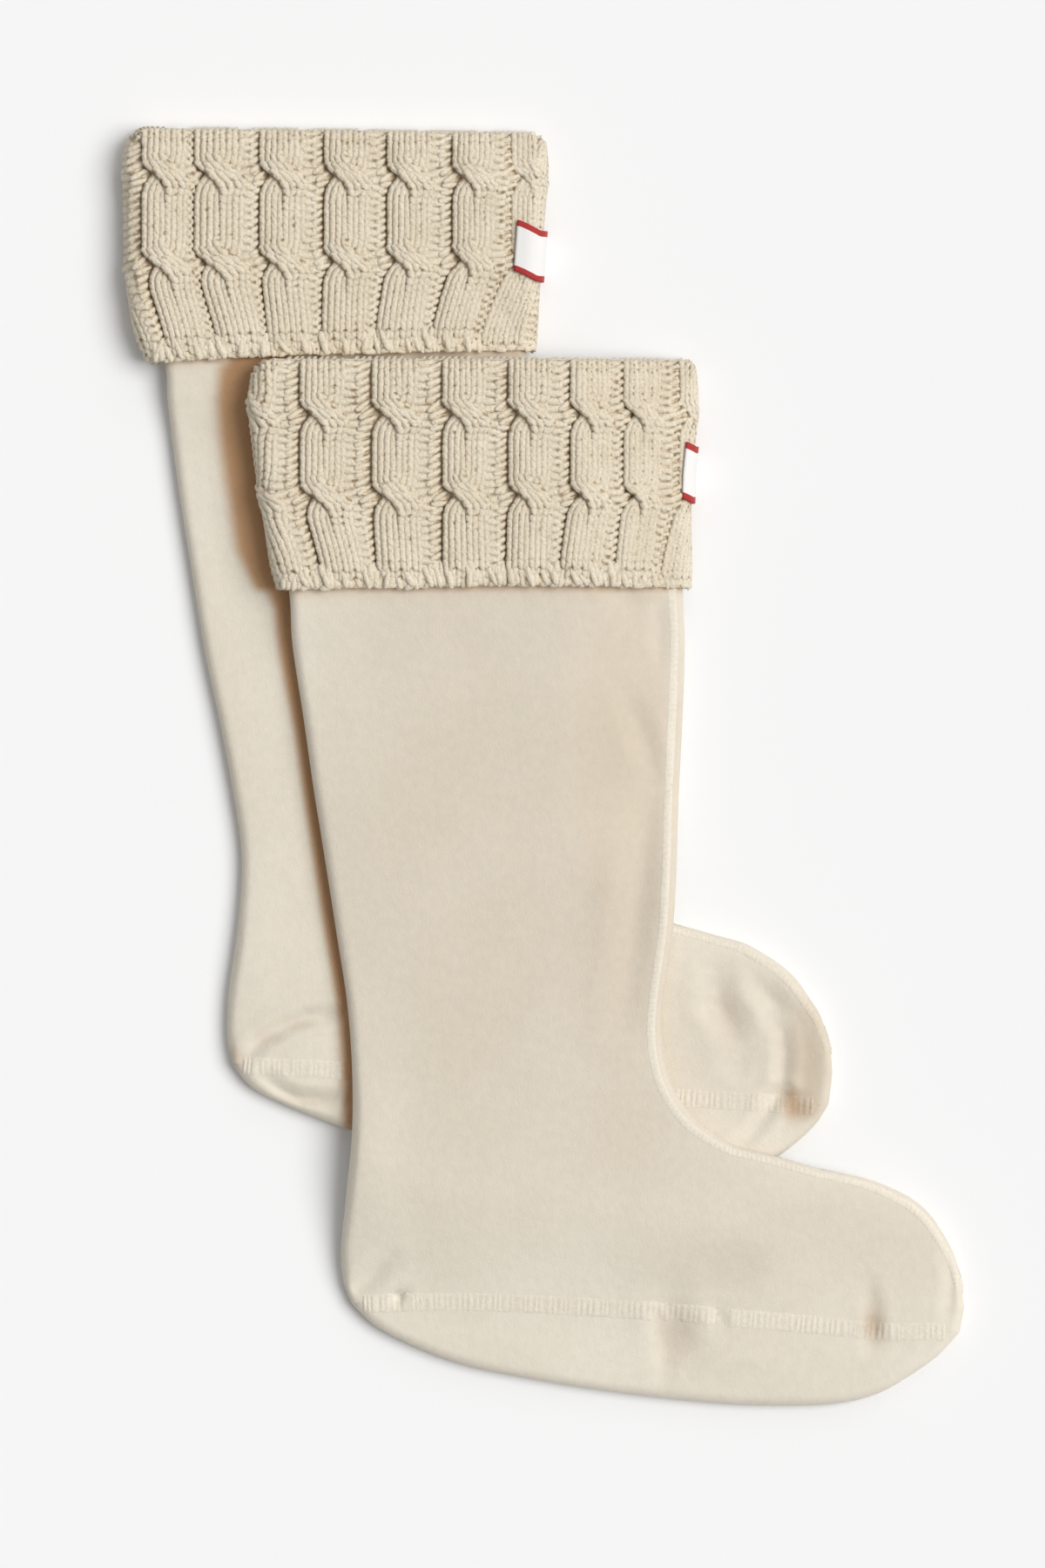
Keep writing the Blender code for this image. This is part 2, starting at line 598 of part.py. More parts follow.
class Cuff:
    """The knit cuff's surface, as rings round the leg at a distance below its top edge and a depth."""

    def __init__(self, sock: Sock):
        self.sock = sock
        self.plan = sock.plan
        rows = np.array(sock.plan.cuff_rows)
        self.down, self.back, self.shin = rows.T

    def edges(self, down: float) -> tuple[float, float]:
        """The cuff's back and shin x at a distance below its top edge."""
        return float(np.interp(down, self.down, self.back)), float(np.interp(down, self.down, self.shin))

    def y(self, x: float, down: float) -> float:
        """The plan height of a place on the cuff; its lower part stretches to the border's edge."""
        height = self.plan.cuff_height
        ends = (self.back[0], self.shin[0])
        top = float(np.interp(x, ends, self.plan.cuff_top))
        bottom = float(np.interp(x, *np.array(self.plan.cuff_bottom).T))
        share = smoothstep((down - STRETCH_START) / (height - STRETCH_START))
        return top - down - (top - bottom - height) * share

    def cable_span(self, cable: tuple[float, float, float, float], down: float) -> tuple[float, float]:
        """A cable's middle x and half width, pinched where its strands cross."""
        left, right, low_left, low_right = cable
        half_way = 0.5 * self.plan.cuff_height
        share = smoothstep((down - half_way) / half_way)
        left += (low_left - left) * share
        right += (low_right - right) * share
        pinch = max(math.exp(-((down - cross) / PINCH_LENGTH) ** 2) for cross in self.plan.crossings)
        return 0.5 * (left + right), 0.5 * (right - left) * (1.0 - CROSSING_PINCH * pinch)

    def relief_columns(self, down: float) -> list[tuple[float, float]]:
        """x and relief of the near layer's columns: each cable's shoulders and the purl between."""
        back, shin = self.edges(down)
        fade = smoothstep(down / HEM_DEPTH) * (1.0 - BORDER_FLATTENING * self.border_share(down))
        columns = []
        previous = None
        for cable in self.plan.cables:
            middle, half = self.cable_span(cable, down)
            if previous is None:
                previous = back + CUFF_HALF
            columns.append((0.5 * (previous + middle - half), -PURL_SINK * fade))
            for offset, share in CABLE_COLUMNS:
                strand = self.crossing(offset, down)
                columns.append((middle + offset * half, CABLE_RELIEF * share * fade + strand * share))
            previous = middle + half
        columns.append((0.5 * (previous + shin - CUFF_HALF), 0.0))
        border = self.border_share(down)
        return [(x, relief + border * BORDER_NUB * (-1) ** i) for i, (x, relief) in enumerate(columns)]

    def border_share(self, down: float) -> float:
        """1 on the ribbed border, 0 above it."""
        return smoothstep((down - self.plan.cuff_height + BORDER_DEPTH) / BORDER_EASE)

    def crossing(self, offset: float, down: float) -> float:
        """Extra relief of the strand that runs over the other, from upper left to lower right."""
        relief = 0.0
        for cross in self.plan.crossings:
            along = (down - cross) / CROSSING_HALF_LENGTH
            if abs(along) <= CROSSING_REACH:
                relief += CROSSING_RELIEF * math.exp(-((offset - along) / CROSSING_WIDTH) ** 2)
        return relief

    def place(self, x: float, down: float, level: float, ground_x: float) -> tuple[float, float, float]:
        """A point at a height above the cuff's underside; the far layer's top edge lies higher."""
        y = self.y(x, down)
        far = 1.0 - level / CUFF_STACK
        rise = FAR_LAYER_RISE * far * (1.0 - smoothstep(down / FAR_RISE_REACH))
        ground = self.sock.base(np.array([ground_x, y]))
        return (x, y + rise, ground + level)

    def edge_rise(self, x: float, down: float) -> float:
        """How far the underside curls up near the shin edge."""
        shin = self.edges(down)[1]
        return EDGE_RISE * smoothstep(2.0 * (1.0 - (shin - x) / EDGE_RISE_REACH))

    def arc(self, down: float, radius: float, angle: float, back: bool) -> tuple[float, float, float]:
        """A point of a rounded edge; the angle is 90 on the near side and -90 on the far side."""
        left, right = self.edges(down)
        centre = left + CUFF_HALF if back else right - CUFF_HALF
        reach = radius * math.cos(math.radians(angle))
        x = centre - reach if back else centre + reach
        level = CUFF_HALF + radius * math.sin(math.radians(angle))
        if radius >= CUFF_HALF and not back:
            level = max(level, self.edge_rise(x, down) - (radius - CUFF_HALF))
        return self.place(x, down, level, centre)

    def ring(self, down: float, depth: float, knitted: bool) -> list[tuple[float, float, float]]:
        """The loop at a depth inside the outer surface, from the back edge over the near layer."""
        left, right = self.edges(down)
        radius = CUFF_HALF - depth
        near_edge = left + CUFF_HALF
        far_edge = right - CUFF_HALF
        points = []
        for angle in (0.0, 30.0, 60.0, 90.0):
            bulge = EDGE_CABLE_RELIEF if knitted and 0.0 < angle < 90.0 else 0.0
            points.append(self.arc(down, radius + bulge * math.sin(math.radians(angle)), angle, True))
        if knitted:
            columns = self.relief_columns(down)
        else:
            columns = [(x, 0.0) for x in np.linspace(near_edge, far_edge, PLAIN_COLUMNS + 2)[1:-1]]
        for x, relief in columns:
            points.append(self.place(x, down, CUFF_STACK - depth + relief, x))
        for angle in ARC_ANGLES:
            points.append(self.arc(down, radius, angle, False))
        count = PLAIN_COLUMNS if self.sock.beneath or not knitted else REAR_UNDER_COLUMNS
        for x in np.linspace(far_edge, near_edge, count + 2)[1:-1]:
            rise = self.edge_rise(x, down) if depth <= 0.0 else 0.0
            points.append(self.place(x, down, depth + rise, x))
        for angle in (-90.0, -60.0, -30.0):
            points.append(self.arc(down, radius, angle, True))
        return points


def build_cuff(sock: Sock, collection: bpy.types.Collection) -> None:
    """The folded-down cuff: up inside to the rolled hem, over it, down outside and round the border."""
    shell = Shell(f"{sock.plan.name}_cuff")
    cuff = Cuff(sock)
    height = sock.plan.cuff_height
    roll = 0.5 * HEM_THICKNESS
    slack = roll * (1.0 - math.sin(math.radians(45.0)))
    near_hem = [
        (HEM_DEPTH, HEM_THICKNESS),
        (roll, HEM_THICKNESS),
        (slack, HEM_THICKNESS - slack),
        (0.0, roll),
        (slack, slack),
    ]
    stations = [(down, depth, False) for down, depth in near_hem]
    stations += [(down, 0.0, True) for down in np.linspace(roll, height - BORDER_DEPTH, CUFF_ROWS)]
    stations += [(height - 0.5 * BORDER_DEPTH, 0.0, True), (height - BORDER_EDGE, 0.0, True)]
    stations += [(height, BORDER_EDGE, False)]
    stations += [(down, KNIT_WALL, False) for down in np.linspace(height, HEM_DEPTH, INNER_ROWS)]
    rows = []
    for down, depth, knitted in stations:
        numbers = shell.add(cuff.ring(down, depth, knitted))
        rows.append(numbers + numbers[:1])
    rows.append(rows[0])
    for first, second in zip(rows, rows[1:]):
        if len(first) == len(second):
            shell.skin([first, second])
        else:
            shell.bridge(first, second)
    shell.build(KNIT, collection)


def build_label(sock: Sock, collection: bpy.types.Collection) -> None:
    """The tape label, made from the cuff's shin edge moved out by its gap and its thickness."""
    shell = Shell(f"{sock.plan.name}_label")
    cuff = Cuff(sock)
    plan = sock.plan.label
    flat = max(plan.reach - CUFF_HALF, 0.0)
    first_angle = min(90.0, math.degrees(math.acos(max(1.0 - plan.reach / CUFF_HALF, -1.0))))
    angles = [first_angle, *(angle for angle in ARC_ANGLES if angle < first_angle - 0.5 * ARC_STEP)]
    layers = []
    for lift in (LABEL_GAP, LABEL_GAP + LABEL_THICKNESS):
        rows = []
        for down in np.linspace(plan.upper, plan.lower, LABEL_ROWS):
            points = []
            shin = cuff.edges(down)[1]
            if flat > 0.0:
                x = shin - plan.reach
                points.append(cuff.place(x, down, CUFF_STACK + lift, x))
            for angle in angles:
                started = LABEL_FALL_ON_FACE if flat > 0.0 else 0.0
                share = min(1.0, started + (90.0 - angle) / LABEL_FALL_ANGLE)
                points.append(cuff.arc(down + plan.fall * share, CUFF_HALF + lift, angle, False))
            x = shin - CUFF_HALF - LABEL_UNDER_REACH
            rise = cuff.edge_rise(x, down)
            points.append(cuff.place(x, down + plan.fall, rise - lift, x))
            rows.append(shell.add(points))
        layers.append(rows)
    under, over = layers
    shell.skin(under)
    shell.skin(over)
    shell.skin([under[0], over[0]])
    shell.skin([under[-1], over[-1]])
    for column in (0, -1):
        shell.skin([[row[column] for row in under], [row[column] for row in over]])
    shell.build(TAPE, collection)


def clear_scene() -> None:
    """Remove the objects that a new file holds."""
    for obj in list(bpy.data.objects):
        bpy.data.objects.remove(obj, do_unlink=True)


def main() -> None:
    """Build both socks."""
    clear_scene()
    collection = bpy.data.collections.new(COLLECTION_NAME)
    bpy.context.scene.collection.children.link(collection)
    rear = Sock(REAR)
    front = Sock(FRONT, beneath=rear)
    for sock in (rear, front):
        build_leg(sock, collection)
        build_sole(sock, collection)
        build_cuff(sock, collection)
        build_label(sock, collection)


main()
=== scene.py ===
"""Dressed model of a pair of boot socks laid flat, the front sock partly on the rear one.

Each sock is a fleece leg and upper, a fleece sole strip, flatlock seams, a folded-down cable-knit cuff and
a tape label.  Tables and sizes are in millimetres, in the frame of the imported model: +X points to the toes,
+Y up the leg and +Z away from the surface that the socks lie on.  Meshes are written in metres.
"""
from __future__ import annotations

import logging
import math
from dataclasses import dataclass, field
from enum import Enum

import bpy
import numpy as np
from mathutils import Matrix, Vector, noise

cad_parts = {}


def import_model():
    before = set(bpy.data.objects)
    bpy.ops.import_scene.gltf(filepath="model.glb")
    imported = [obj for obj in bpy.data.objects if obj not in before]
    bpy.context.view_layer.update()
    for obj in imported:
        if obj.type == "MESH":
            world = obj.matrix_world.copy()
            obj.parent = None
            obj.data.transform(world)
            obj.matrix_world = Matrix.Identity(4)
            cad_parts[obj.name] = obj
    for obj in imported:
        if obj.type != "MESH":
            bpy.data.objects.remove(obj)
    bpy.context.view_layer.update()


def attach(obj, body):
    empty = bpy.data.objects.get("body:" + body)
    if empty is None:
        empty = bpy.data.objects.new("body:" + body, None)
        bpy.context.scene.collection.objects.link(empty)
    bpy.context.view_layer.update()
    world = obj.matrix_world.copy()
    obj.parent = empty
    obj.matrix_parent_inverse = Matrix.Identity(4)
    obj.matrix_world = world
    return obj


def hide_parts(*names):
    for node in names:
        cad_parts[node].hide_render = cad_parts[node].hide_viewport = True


Array = np.ndarray
Table = tuple[tuple[float, ...], ...]
Colour = tuple[float, float, float]

LOG = logging.getLogger("boot_socks")
MM = 0.001
BODY = "root"
WHITE = (1.0, 1.0, 1.0)
BLACK = (0.0, 0.0, 0.0)

# Fleece, both layers as they lie
STACK = 8.0
PUFF = 1.5
PUFF_REACH = 16.0
LEG_FALL = 30.0             # below the cuff, the leg settles onto what is beneath it over this length
LEG_FALL_START = 3.0
CREASE_MARGIN = 4.0         # creases start this far inside the outline
WAVE_MARGIN = 14.0          # and the waves of loose cloth this far
# reach across and along, the noise's layer, height
WAVES = ((46.0, 60.0, 3.1, 0.55), (15.0, 18.0, 8.7, 0.13))

# Knit cuff round the leg
KNIT_WALL = 3.0
CUFF_LIFT = 3.4
CUFF_STACK = STACK + 2.0 * CUFF_LIFT
CUFF_HALF = 0.5 * CUFF_STACK
HEM_DEPTH = 8.0             # the thick rolled top, where the knit is joined to the leg's rim
HEM_THICKNESS = 6.2
ROLL = 0.5 * HEM_THICKNESS
STRETCH_START = 12.0        # below this the knit stretches to the border's slanting edge
FAR_LAYER_RISE = 2.0        # the far layer's top edge shows above the near one
FAR_RISE_REACH = 8.0
EDGE_RISE = 1.5             # the shin edge curls off the surface
EDGE_RISE_REACH = 24.0
CABLE_RELIEF = 2.7
BORDER_DEPTH = 7.0

# Front sock over the rear one
STACK_GAP = 0.9
DRAPE_START = 5.0           # the front sock stays level this far past the rear sock's outline
DRAPE_LENGTH = 62.0
CUFF_SHADE_REACH = 6.0      # how far past the front cuff's top edge the cuff shades what is beside it
FAR_AWAY = 1e3

STEP = 0.6                  # a short step, to find directions on the knit


class Side(Enum):
    """The layer of a sock that faces up, and the one that faces the surface."""

    NEAR = 1
    FAR = -1


class Slot(Enum):
    """The record's material slots."""

    FLEECE = "fleece"
    KNIT = "knit"
    TAPE = "tape"


@dataclass(frozen=True)
class Crease:
    """A soft trough in the cloth along a line of plan points, with a slight lip beside it.

    The lip is a share of the depth, and its own place and width are in widths of the trough.  The trough is
    shallower at the line's ends, and a share of it is twice as wide.
    """

    line: Table
    width: float
    depth: float
    lip: float = 0.25
    lip_place: float = 2.4
    lip_width: float = 0.9
    end_share: float = 0.35
    wide_share: float = 0.4

    def dent(self, points: Array) -> Array:
        """Depth of the trough under each plan point.

        Args:
            points: plan points, one a row.

        Returns:
            The depth at each point, negative on the lip.
        """
        distance, share = polyline_distance(points, np.array(self.line))
        swell = self.end_share + (1.0 - self.end_share) * np.sin(np.pi * share)
        narrow = np.exp(-((distance / self.width) ** 2))
        wide = np.exp(-((distance / (2.0 * self.width)) ** 2))
        trough = (1.0 - self.wide_share) * narrow + self.wide_share * wide
        lip = np.exp(-(((distance - self.lip_place * self.width) / (self.lip_width * self.width)) ** 2))
        return self.depth * swell * (trough - self.lip * lip)


@dataclass(frozen=True)
class NapAndShadePatch:
    """A soft-edged patch of painted shade on the fleece over creases, puckers and slopes that face away from
    the light, in broad patches partly a darker nap.
    """

    x: float
    y: float
    reach_x: float
    reach_y: float
    tone: float
    edge: float = 1.5

    def share(self, points: Array) -> Array:
        """How much of the tone shows at each plan point."""
        away = ((points[:, 0] - self.x) / self.reach_x) ** 2 + ((points[:, 1] - self.y) / self.reach_y) ** 2
        return self.tone * np.exp(-away ** self.edge)


@dataclass(frozen=True)
class LabelPlan:
    """Where a label lies: its edges below the cuff's top, its reach in from the shin edge, its fall."""

    upper: float
    lower: float
    reach: float
    fall: float


def patch_tone(points: Array, patches: tuple[NapAndShadePatch, ...]) -> Array:
    """How much painted shade, partly a darker nap, the patches together put on the fleece at plan points."""
    return sum(patch.share(points) for patch in patches)


@dataclass(frozen=True)
class SockPlan:
    """The plan of one sock as it lies, with a row for each section or fold."""

    name: str
    leg_rows: Table
    foot_rows: Table
    cuff_rows: Table
    cuff_top: tuple[float, float]
    cuff_bottom: Table
    cuff_height: float
    cables: Table
    crossings: tuple[float, ...]
    creases: tuple[Crease, ...]
    under_creases: tuple[Crease, ...]
    # patches of painted shade on the fleece, broad ones partly a darker nap
    nap: tuple[NapAndShadePatch, ...]
    # spots of painted brown shade in folds
    shade_patches: tuple[NapAndShadePatch, ...]
    label: LabelPlan


REAR = SockPlan(
    name="rear",
    # back x, back y, shin x, shin y
    leg_rows=(
        (-163.5, 249.0, -4.0, 247.0),
        (-164.0, 221.5, -4.0, 221.5),
        (-163.0, 193.5, -5.5, 193.5),
        (-154.0, 164.0, -7.5, 164.0),
        (-152.5, 146.0, -2.5, 146.0),
        (-148.5, 114.0, 2.0, 112.5),
        (-143.0, 79.0, 2.0, 81.0),
        (-137.5, 45.5, 0.5, 49.0),
        (-131.5, 17.5, -0.5, 22.5),
        (-126.5, -9.0, -2.0, 1.5),
        (-123.0, -32.0, -2.5, -14.5),
        (-123.0, -49.5, -0.5, -28.5),
        (-125.0, -70.5, 3.5, -39.0),
        (-128.0, -91.5, 9.0, -47.0),
        (-128.5, -109.0, 16.0, -53.0),
        (-126.5, -120.5, 24.5, -57.0),
    ),
    # sole edge x, sole edge y, seam x, seam y, instep x, instep y
    foot_rows=(
        (-126.5, -120.5, -126.5, -120.5, 24.5, -57.0),
        (-118.5, -130.0, -114.0, -121.5, 34.0, -60.5),
        (-104.0, -137.5, -99.5, -122.0, 43.5, -62.0),
        (-85.0, -145.0, -80.5, -123.0, 53.0, -64.0),
        (-62.0, -152.5, -57.5, -124.5, 62.5, -66.5),
        (-36.5, -159.5, -33.0, -127.0, 71.5, -69.0),
        (-9.0, -164.5, -7.0, -129.5, 80.5, -71.5),
        (18.0, -167.5, 19.0, -131.5, 88.0, -75.5),
        (42.0, -169.0, 42.5, -133.0, 95.5, -80.5),
        (62.5, -167.5, 63.0, -134.5, 101.5, -86.0),
        (79.5, -164.5, 80.5, -135.5, 106.5, -93.0),
        (93.0, -158.5, 93.5, -136.5, 111.0, -100.0),
        (103.0, -151.0, 104.0, -137.0, 113.5, -107.0),
        (110.0, -144.0, 111.0, -137.0, 115.5, -115.5),
        (114.5, -137.0, 115.0, -134.5, 116.2, -124.0),
    ),
    # distance below the cuff's top edge, back x, shin x
    cuff_rows=(
        (0.0, -165.5, -2.0),
        (4.0, -168.8, 1.4),
        (15.0, -169.5, 2.0),
        (40.0, -169.0, 0.0),
        (62.0, -168.5, -1.5),
        (75.0, -166.5, -2.0),
        (84.0, -163.5, -2.5),
        (91.0, -159.5, -3.0),
    ),
    cuff_top=(257.6, 255.6),
    cuff_bottom=((-160.0, 163.0), (-118.5, 165.5), (-79.5, 166.5), (-44.5, 167.5), (-3.0, 168.0)),  # x, y
    cuff_height=91.0,
    # a cable's left and right x half way down, then at the border; the first and last wrap round the edges
    cables=(
        (-189.0, -171.5, -173.0, -156.5),
        (-162.5, -144.5, -152.0, -136.0),
        (-141.5, -121.5, -131.5, -114.0),
        (-115.0, -97.0, -111.5, -93.5),
        (-89.0, -71.0, -90.0, -72.0),
        (-63.5, -46.0, -68.5, -50.0),
        (-37.0, -20.5, -46.0, -29.5),
        (-13.5, 3.5, -26.0, -9.0),
    ),
    crossings=(18.0, 53.0),
    # line of plan points, width, depth, lip
    creases=(
        Crease(((-122.5, -119.0), (-115.0, -110.4), (-106.0, -105.2), (-96.0, -101.3), (-82.7, -100.0)),
               2.4, 2.9),
        Crease(((-112.5, -126.5), (-106.6, -131.5), (-100.0, -134.4), (-89.0, -134.6), (-81.0, -133.8)),
               2.3, 2.5),
        Crease(((-108.0, -118.5), (-94.0, -119.5), (-82.0, -119.0)), 9.0, -0.7, 0.0),
        Crease(((-118.0, -60.0), (-119.5, -82.0), (-114.0, -100.0)), 11.0, -1.1, 0.0),
        Crease(((68.5, -84.0), (71.0, -96.0), (75.0, -105.0), (77.0, -113.0)), 4.0, 2.9),
        Crease(((64.0, -92.0), (67.0, -104.0)), 3.2, 1.5),
        Crease(((86.0, -88.9), (92.0, -95.0), (98.0, -102.6)), 3.2, 2.0),
        Crease(((90.0, -101.0), (95.6, -107.5), (96.6, -116.3), (95.6, -129.0), (88.0, -142.0),
                (79.0, -153.7)), 2.4, 2.1),
        Crease(((103.0, -104.0), (105.0, -118.0), (103.0, -132.0), (96.0, -146.0)), 6.0, 1.4, 0.0),
        Crease(((101.0, -137.0), (97.0, -133.0), (90.0, -133.5)), 2.6, 1.8),
        Crease(((72.0, -121.0), (77.0, -122.0), (83.0, -121.0)), 3.0, 0.9),
        Crease(((-138.0, 108.0), (-122.0, 60.0), (-112.0, 10.0)), 9.0, 0.5),
        Crease(((-96.0, 30.0), (-88.0, -30.0), (-90.0, -82.0)), 10.0, 0.6),
    ),
    under_creases=(
        Crease(((-60.0, 60.0), (-52.0, 0.0), (-40.0, -50.0)), 6.0, -0.35, 0.0),
        Crease(((20.0, -80.0), (60.0, -110.0)), 5.0, -0.35, 0.0),
    ),
    # painted shade in the heel's arcs, the toe's folds and on slopes, broad ones partly a darker nap
    # x, y, reach across, reach along, tone, edge
    nap=(
        NapAndShadePatch(-134.0, -10.0, 16.0, 60.0, 0.45),
        NapAndShadePatch(84.0, -108.0, 44.0, 36.0, 0.45, 2.5),
        NapAndShadePatch(107.0, -118.0, 10.0, 24.0, 1.7),
        NapAndShadePatch(102.6, -137.0, 7.5, 6.5, 1.9),
        NapAndShadePatch(74.0, -103.0, 4.0, 11.0, 0.7),
        NapAndShadePatch(-125.5, -118.0, 4.5, 5.5, 1.8),
        NapAndShadePatch(-112.0, -110.0, 5.5, 3.0, 0.8),
        NapAndShadePatch(-99.0, -104.4, 8.0, 2.4, 0.6),
        NapAndShadePatch(-93.0, -134.4, 11.0, 2.2, 0.7),
    ),
    # painted brown shade in the toe's fold and its seam
    shade_patches=(
        NapAndShadePatch(99.6, -136.5, 3.6, 6.0, 0.50),
        NapAndShadePatch(105.5, -139.0, 5.0, 3.6, 0.22),
    ),
    label=LabelPlan(upper=36.0, lower=58.0, reach=11.5, fall=4.5),
)

FRONT = SockPlan(
    name="front",
    leg_rows=(
        (-113.0, 155.4, 57.5, 155.4),
        (-113.5, 133.5, 56.0, 133.5),
        (-110.0, 105.5, 55.5, 105.5),
        (-103.5, 72.0, 55.5, 72.0),
        (-102.0, 49.0, 56.5, 49.0),
        (-97.5, 19.0, 55.5, 17.5),
        (-93.5, -9.0, 54.0, -12.5),
        (-89.0, -37.0, 53.0, -42.5),
        (-84.0, -69.0, 51.5, -67.0),
        (-80.0, -95.0, 48.5, -88.0),
        (-78.0, -121.5, 47.0, -102.5),
        (-78.0, -148.0, 47.5, -114.5),
        (-80.5, -174.5, 50.0, -125.5),
        (-82.5, -195.5, 54.5, -134.5),
        (-81.5, -208.5, 61.0, -142.5),
        (-78.0, -217.5, 69.0, -148.5),
    ),
    foot_rows=(
        (-78.0, -217.5, -78.0, -217.5, 69.0, -148.5),
        (-68.5, -226.5, -65.0, -217.0, 78.0, -153.5),
        (-52.0, -235.0, -47.0, -216.5, 89.5, -156.5),
        (-31.0, -242.5, -26.0, -216.5, 100.5, -159.5),
        (-6.5, -247.5, -2.0, -217.5, 111.0, -162.5),
        (20.5, -252.0, 24.5, -219.0, 121.0, -164.5),
        (48.0, -255.5, 50.5, -220.5, 131.0, -167.0),
        (75.5, -258.0, 77.0, -223.0, 140.0, -170.5),
        (100.0, -258.5, 101.5, -225.0, 148.5, -175.0),
        (119.5, -257.5, 121.0, -227.0, 155.5, -181.0),
        (135.0, -253.5, 136.5, -228.5, 161.0, -189.0),
        (147.5, -246.5, 148.5, -228.5, 165.0, -196.5),
        (157.5, -239.5, 158.5, -228.5, 167.5, -204.5),
        (163.5, -233.5, 164.5, -228.5, 168.5, -212.0),
        (167.5, -229.0, 168.0, -227.0, 169.5, -218.5),
    ),
    cuff_rows=(
        (0.0, -114.8, 59.6),
        (4.0, -117.8, 62.0),
        (16.0, -119.0, 62.5),
        (30.0, -118.0, 61.5),
        (45.0, -116.0, 60.0),
        (60.0, -113.5, 59.5),
        (78.0, -111.0, 59.8),
        (92.0, -108.0, 60.0),
    ),
    cuff_top=(164.0, 164.0),
    cuff_bottom=((-109.0, 71.0), (-62.0, 72.0), (-9.0, 73.0), (60.0, 72.0)),
    cuff_height=92.0,
    cables=(
        (-125.5, -108.0, -113.5, -96.5),
        (-98.5, -80.5, -89.5, -72.0),
        (-69.5, -51.0, -67.5, -49.0),
        (-41.0, -23.5, -41.0, -22.0),
        (-14.5, 2.5, -15.5, 2.0),
        (10.5, 26.5, 6.0, 22.5),
        (32.0, 46.5, 28.5, 42.5),
        (54.5, 71.5, 46.5, 63.5),
    ),
    crossings=(21.9, 54.9),
    creases=(
        Crease(((33.4, 73.0), (33.8, 68.0), (34.2, 62.0)), 4.6, 1.3),
        Crease(((45.6, 66.0), (45.9, 55.0), (45.9, 41.0)), 2.2, 1.0),
        Crease(((32.0, 30.0), (35.0, 22.4), (40.5, 8.0), (45.0, -8.0)), 3.4, 1.4),
        Crease(((41.5, -10.0), (40.3, -28.0), (38.6, -46.0), (35.8, -75.0), (32.4, -105.8)), 5.2, 1.7),
        Crease(((47.5, 40.0), (48.5, 0.0), (47.5, -40.0), (43.0, -92.0)), 5.0, -0.7, 0.0),
        Crease(((49.0, -213.0), (51.5, -225.0), (54.0, -240.0)), 5.0, 2.2),
        Crease(((44.6, -222.0), (47.6, -232.0), (48.0, -242.0), (46.8, -253.5)), 1.7, 1.7),
        Crease(((70.8, -218.5), (70.6, -223.0), (70.2, -228.0)), 2.2, 1.1),
        Crease(((131.4, -210.0), (132.4, -218.0), (133.0, -227.0), (132.4, -236.0)), 2.6, 1.3),
        Crease(((124.0, -236.0), (133.0, -231.0), (141.0, -233.0)), 3.6, 0.8),
        Crease(((162.0, -196.0), (163.8, -203.0), (164.2, -210.0), (163.0, -222.0)), 2.2, 1.1),
        Crease(((60.0, -206.0), (74.0, -200.5), (86.0, -192.0)), 8.0, 1.0),
        Crease(((64.0, -243.0), (80.0, -238.0), (96.0, -243.0)), 7.0, -0.9, 0.0),
        Crease(((-80.5, -215.0), (-71.0, -206.5), (-62.8, -199.2)), 3.0, 2.0),
        Crease(((-61.5, -216.5), (-59.1, -214.5), (-57.0, -212.0)), 1.9, 1.5),
        Crease(((-60.6, -211.5), (-58.6, -216.5)), 1.5, 0.9),
        Crease(((-70.0, -125.0), (-72.0, -160.0), (-69.5, -192.0)), 12.0, -1.5, 0.0),
        Crease(((-84.0, 55.0), (-78.0, 10.0), (-72.0, -40.0)), 10.0, -0.5, 0.0),
        Crease(((-30.0, -190.0), (20.0, -200.0), (60.0, -200.0)), 18.0, 0.7, 0.0),
    ),
    under_creases=(
        Crease(((-30.0, 40.0), (-24.0, -30.0), (-30.0, -100.0)), 7.0, -0.35, 0.0),
        Crease(((60.0, -190.0), (104.0, -214.0)), 5.0, -0.35, 0.0),
    ),
    # painted shade on slopes, creases and the toe's pucker; the broad ones down the leg are partly a darker
    # nap
    nap=(
        NapAndShadePatch(-16.0, -20.0, 74.0, 162.0, 0.95, 2.5),
        NapAndShadePatch(36.0, -10.0, 24.0, 130.0, 0.95),
        NapAndShadePatch(54.0, -158.0, 45.0, 28.0, 0.7),
        NapAndShadePatch(130.0, -186.0, 36.0, 22.0, 0.7),
        NapAndShadePatch(72.0, -200.0, 24.0, 12.0, 0.8),
        NapAndShadePatch(132.7, -226.5, 5.0, 7.0, 2.1),
        NapAndShadePatch(132.4, -217.0, 3.6, 9.0, 0.9),
        NapAndShadePatch(52.0, -230.0, 8.0, 11.0, 1.3),
    ),
    # painted brown shade in the toe's pucker
    shade_patches=(
        NapAndShadePatch(132.9, -226.5, 3.4, 4.6, 0.16),
    ),
    label=LabelPlan(upper=32.0, lower=55.0, reach=4.6, fall=3.0),
)


# -------- curves and distances


def smoothstep(value: Array | float) -> Array:
    """Ease from 0 to 1."""
    share = np.clip(value, 0.0, 1.0)
    return share * share * (3.0 - 2.0 * share)


def ease(value: Array, start: Array | float, reach: Array | float) -> Array:
    """Ease from 0 at a start to 1 a reach further on, or further back if the reach is negative."""
    return smoothstep((value - start) / reach)


def read_table(table: Table, place: Array | float) -> Array:
    """The value that a table's second column gives at places in its first."""
    return np.interp(place, *np.array(table).T)


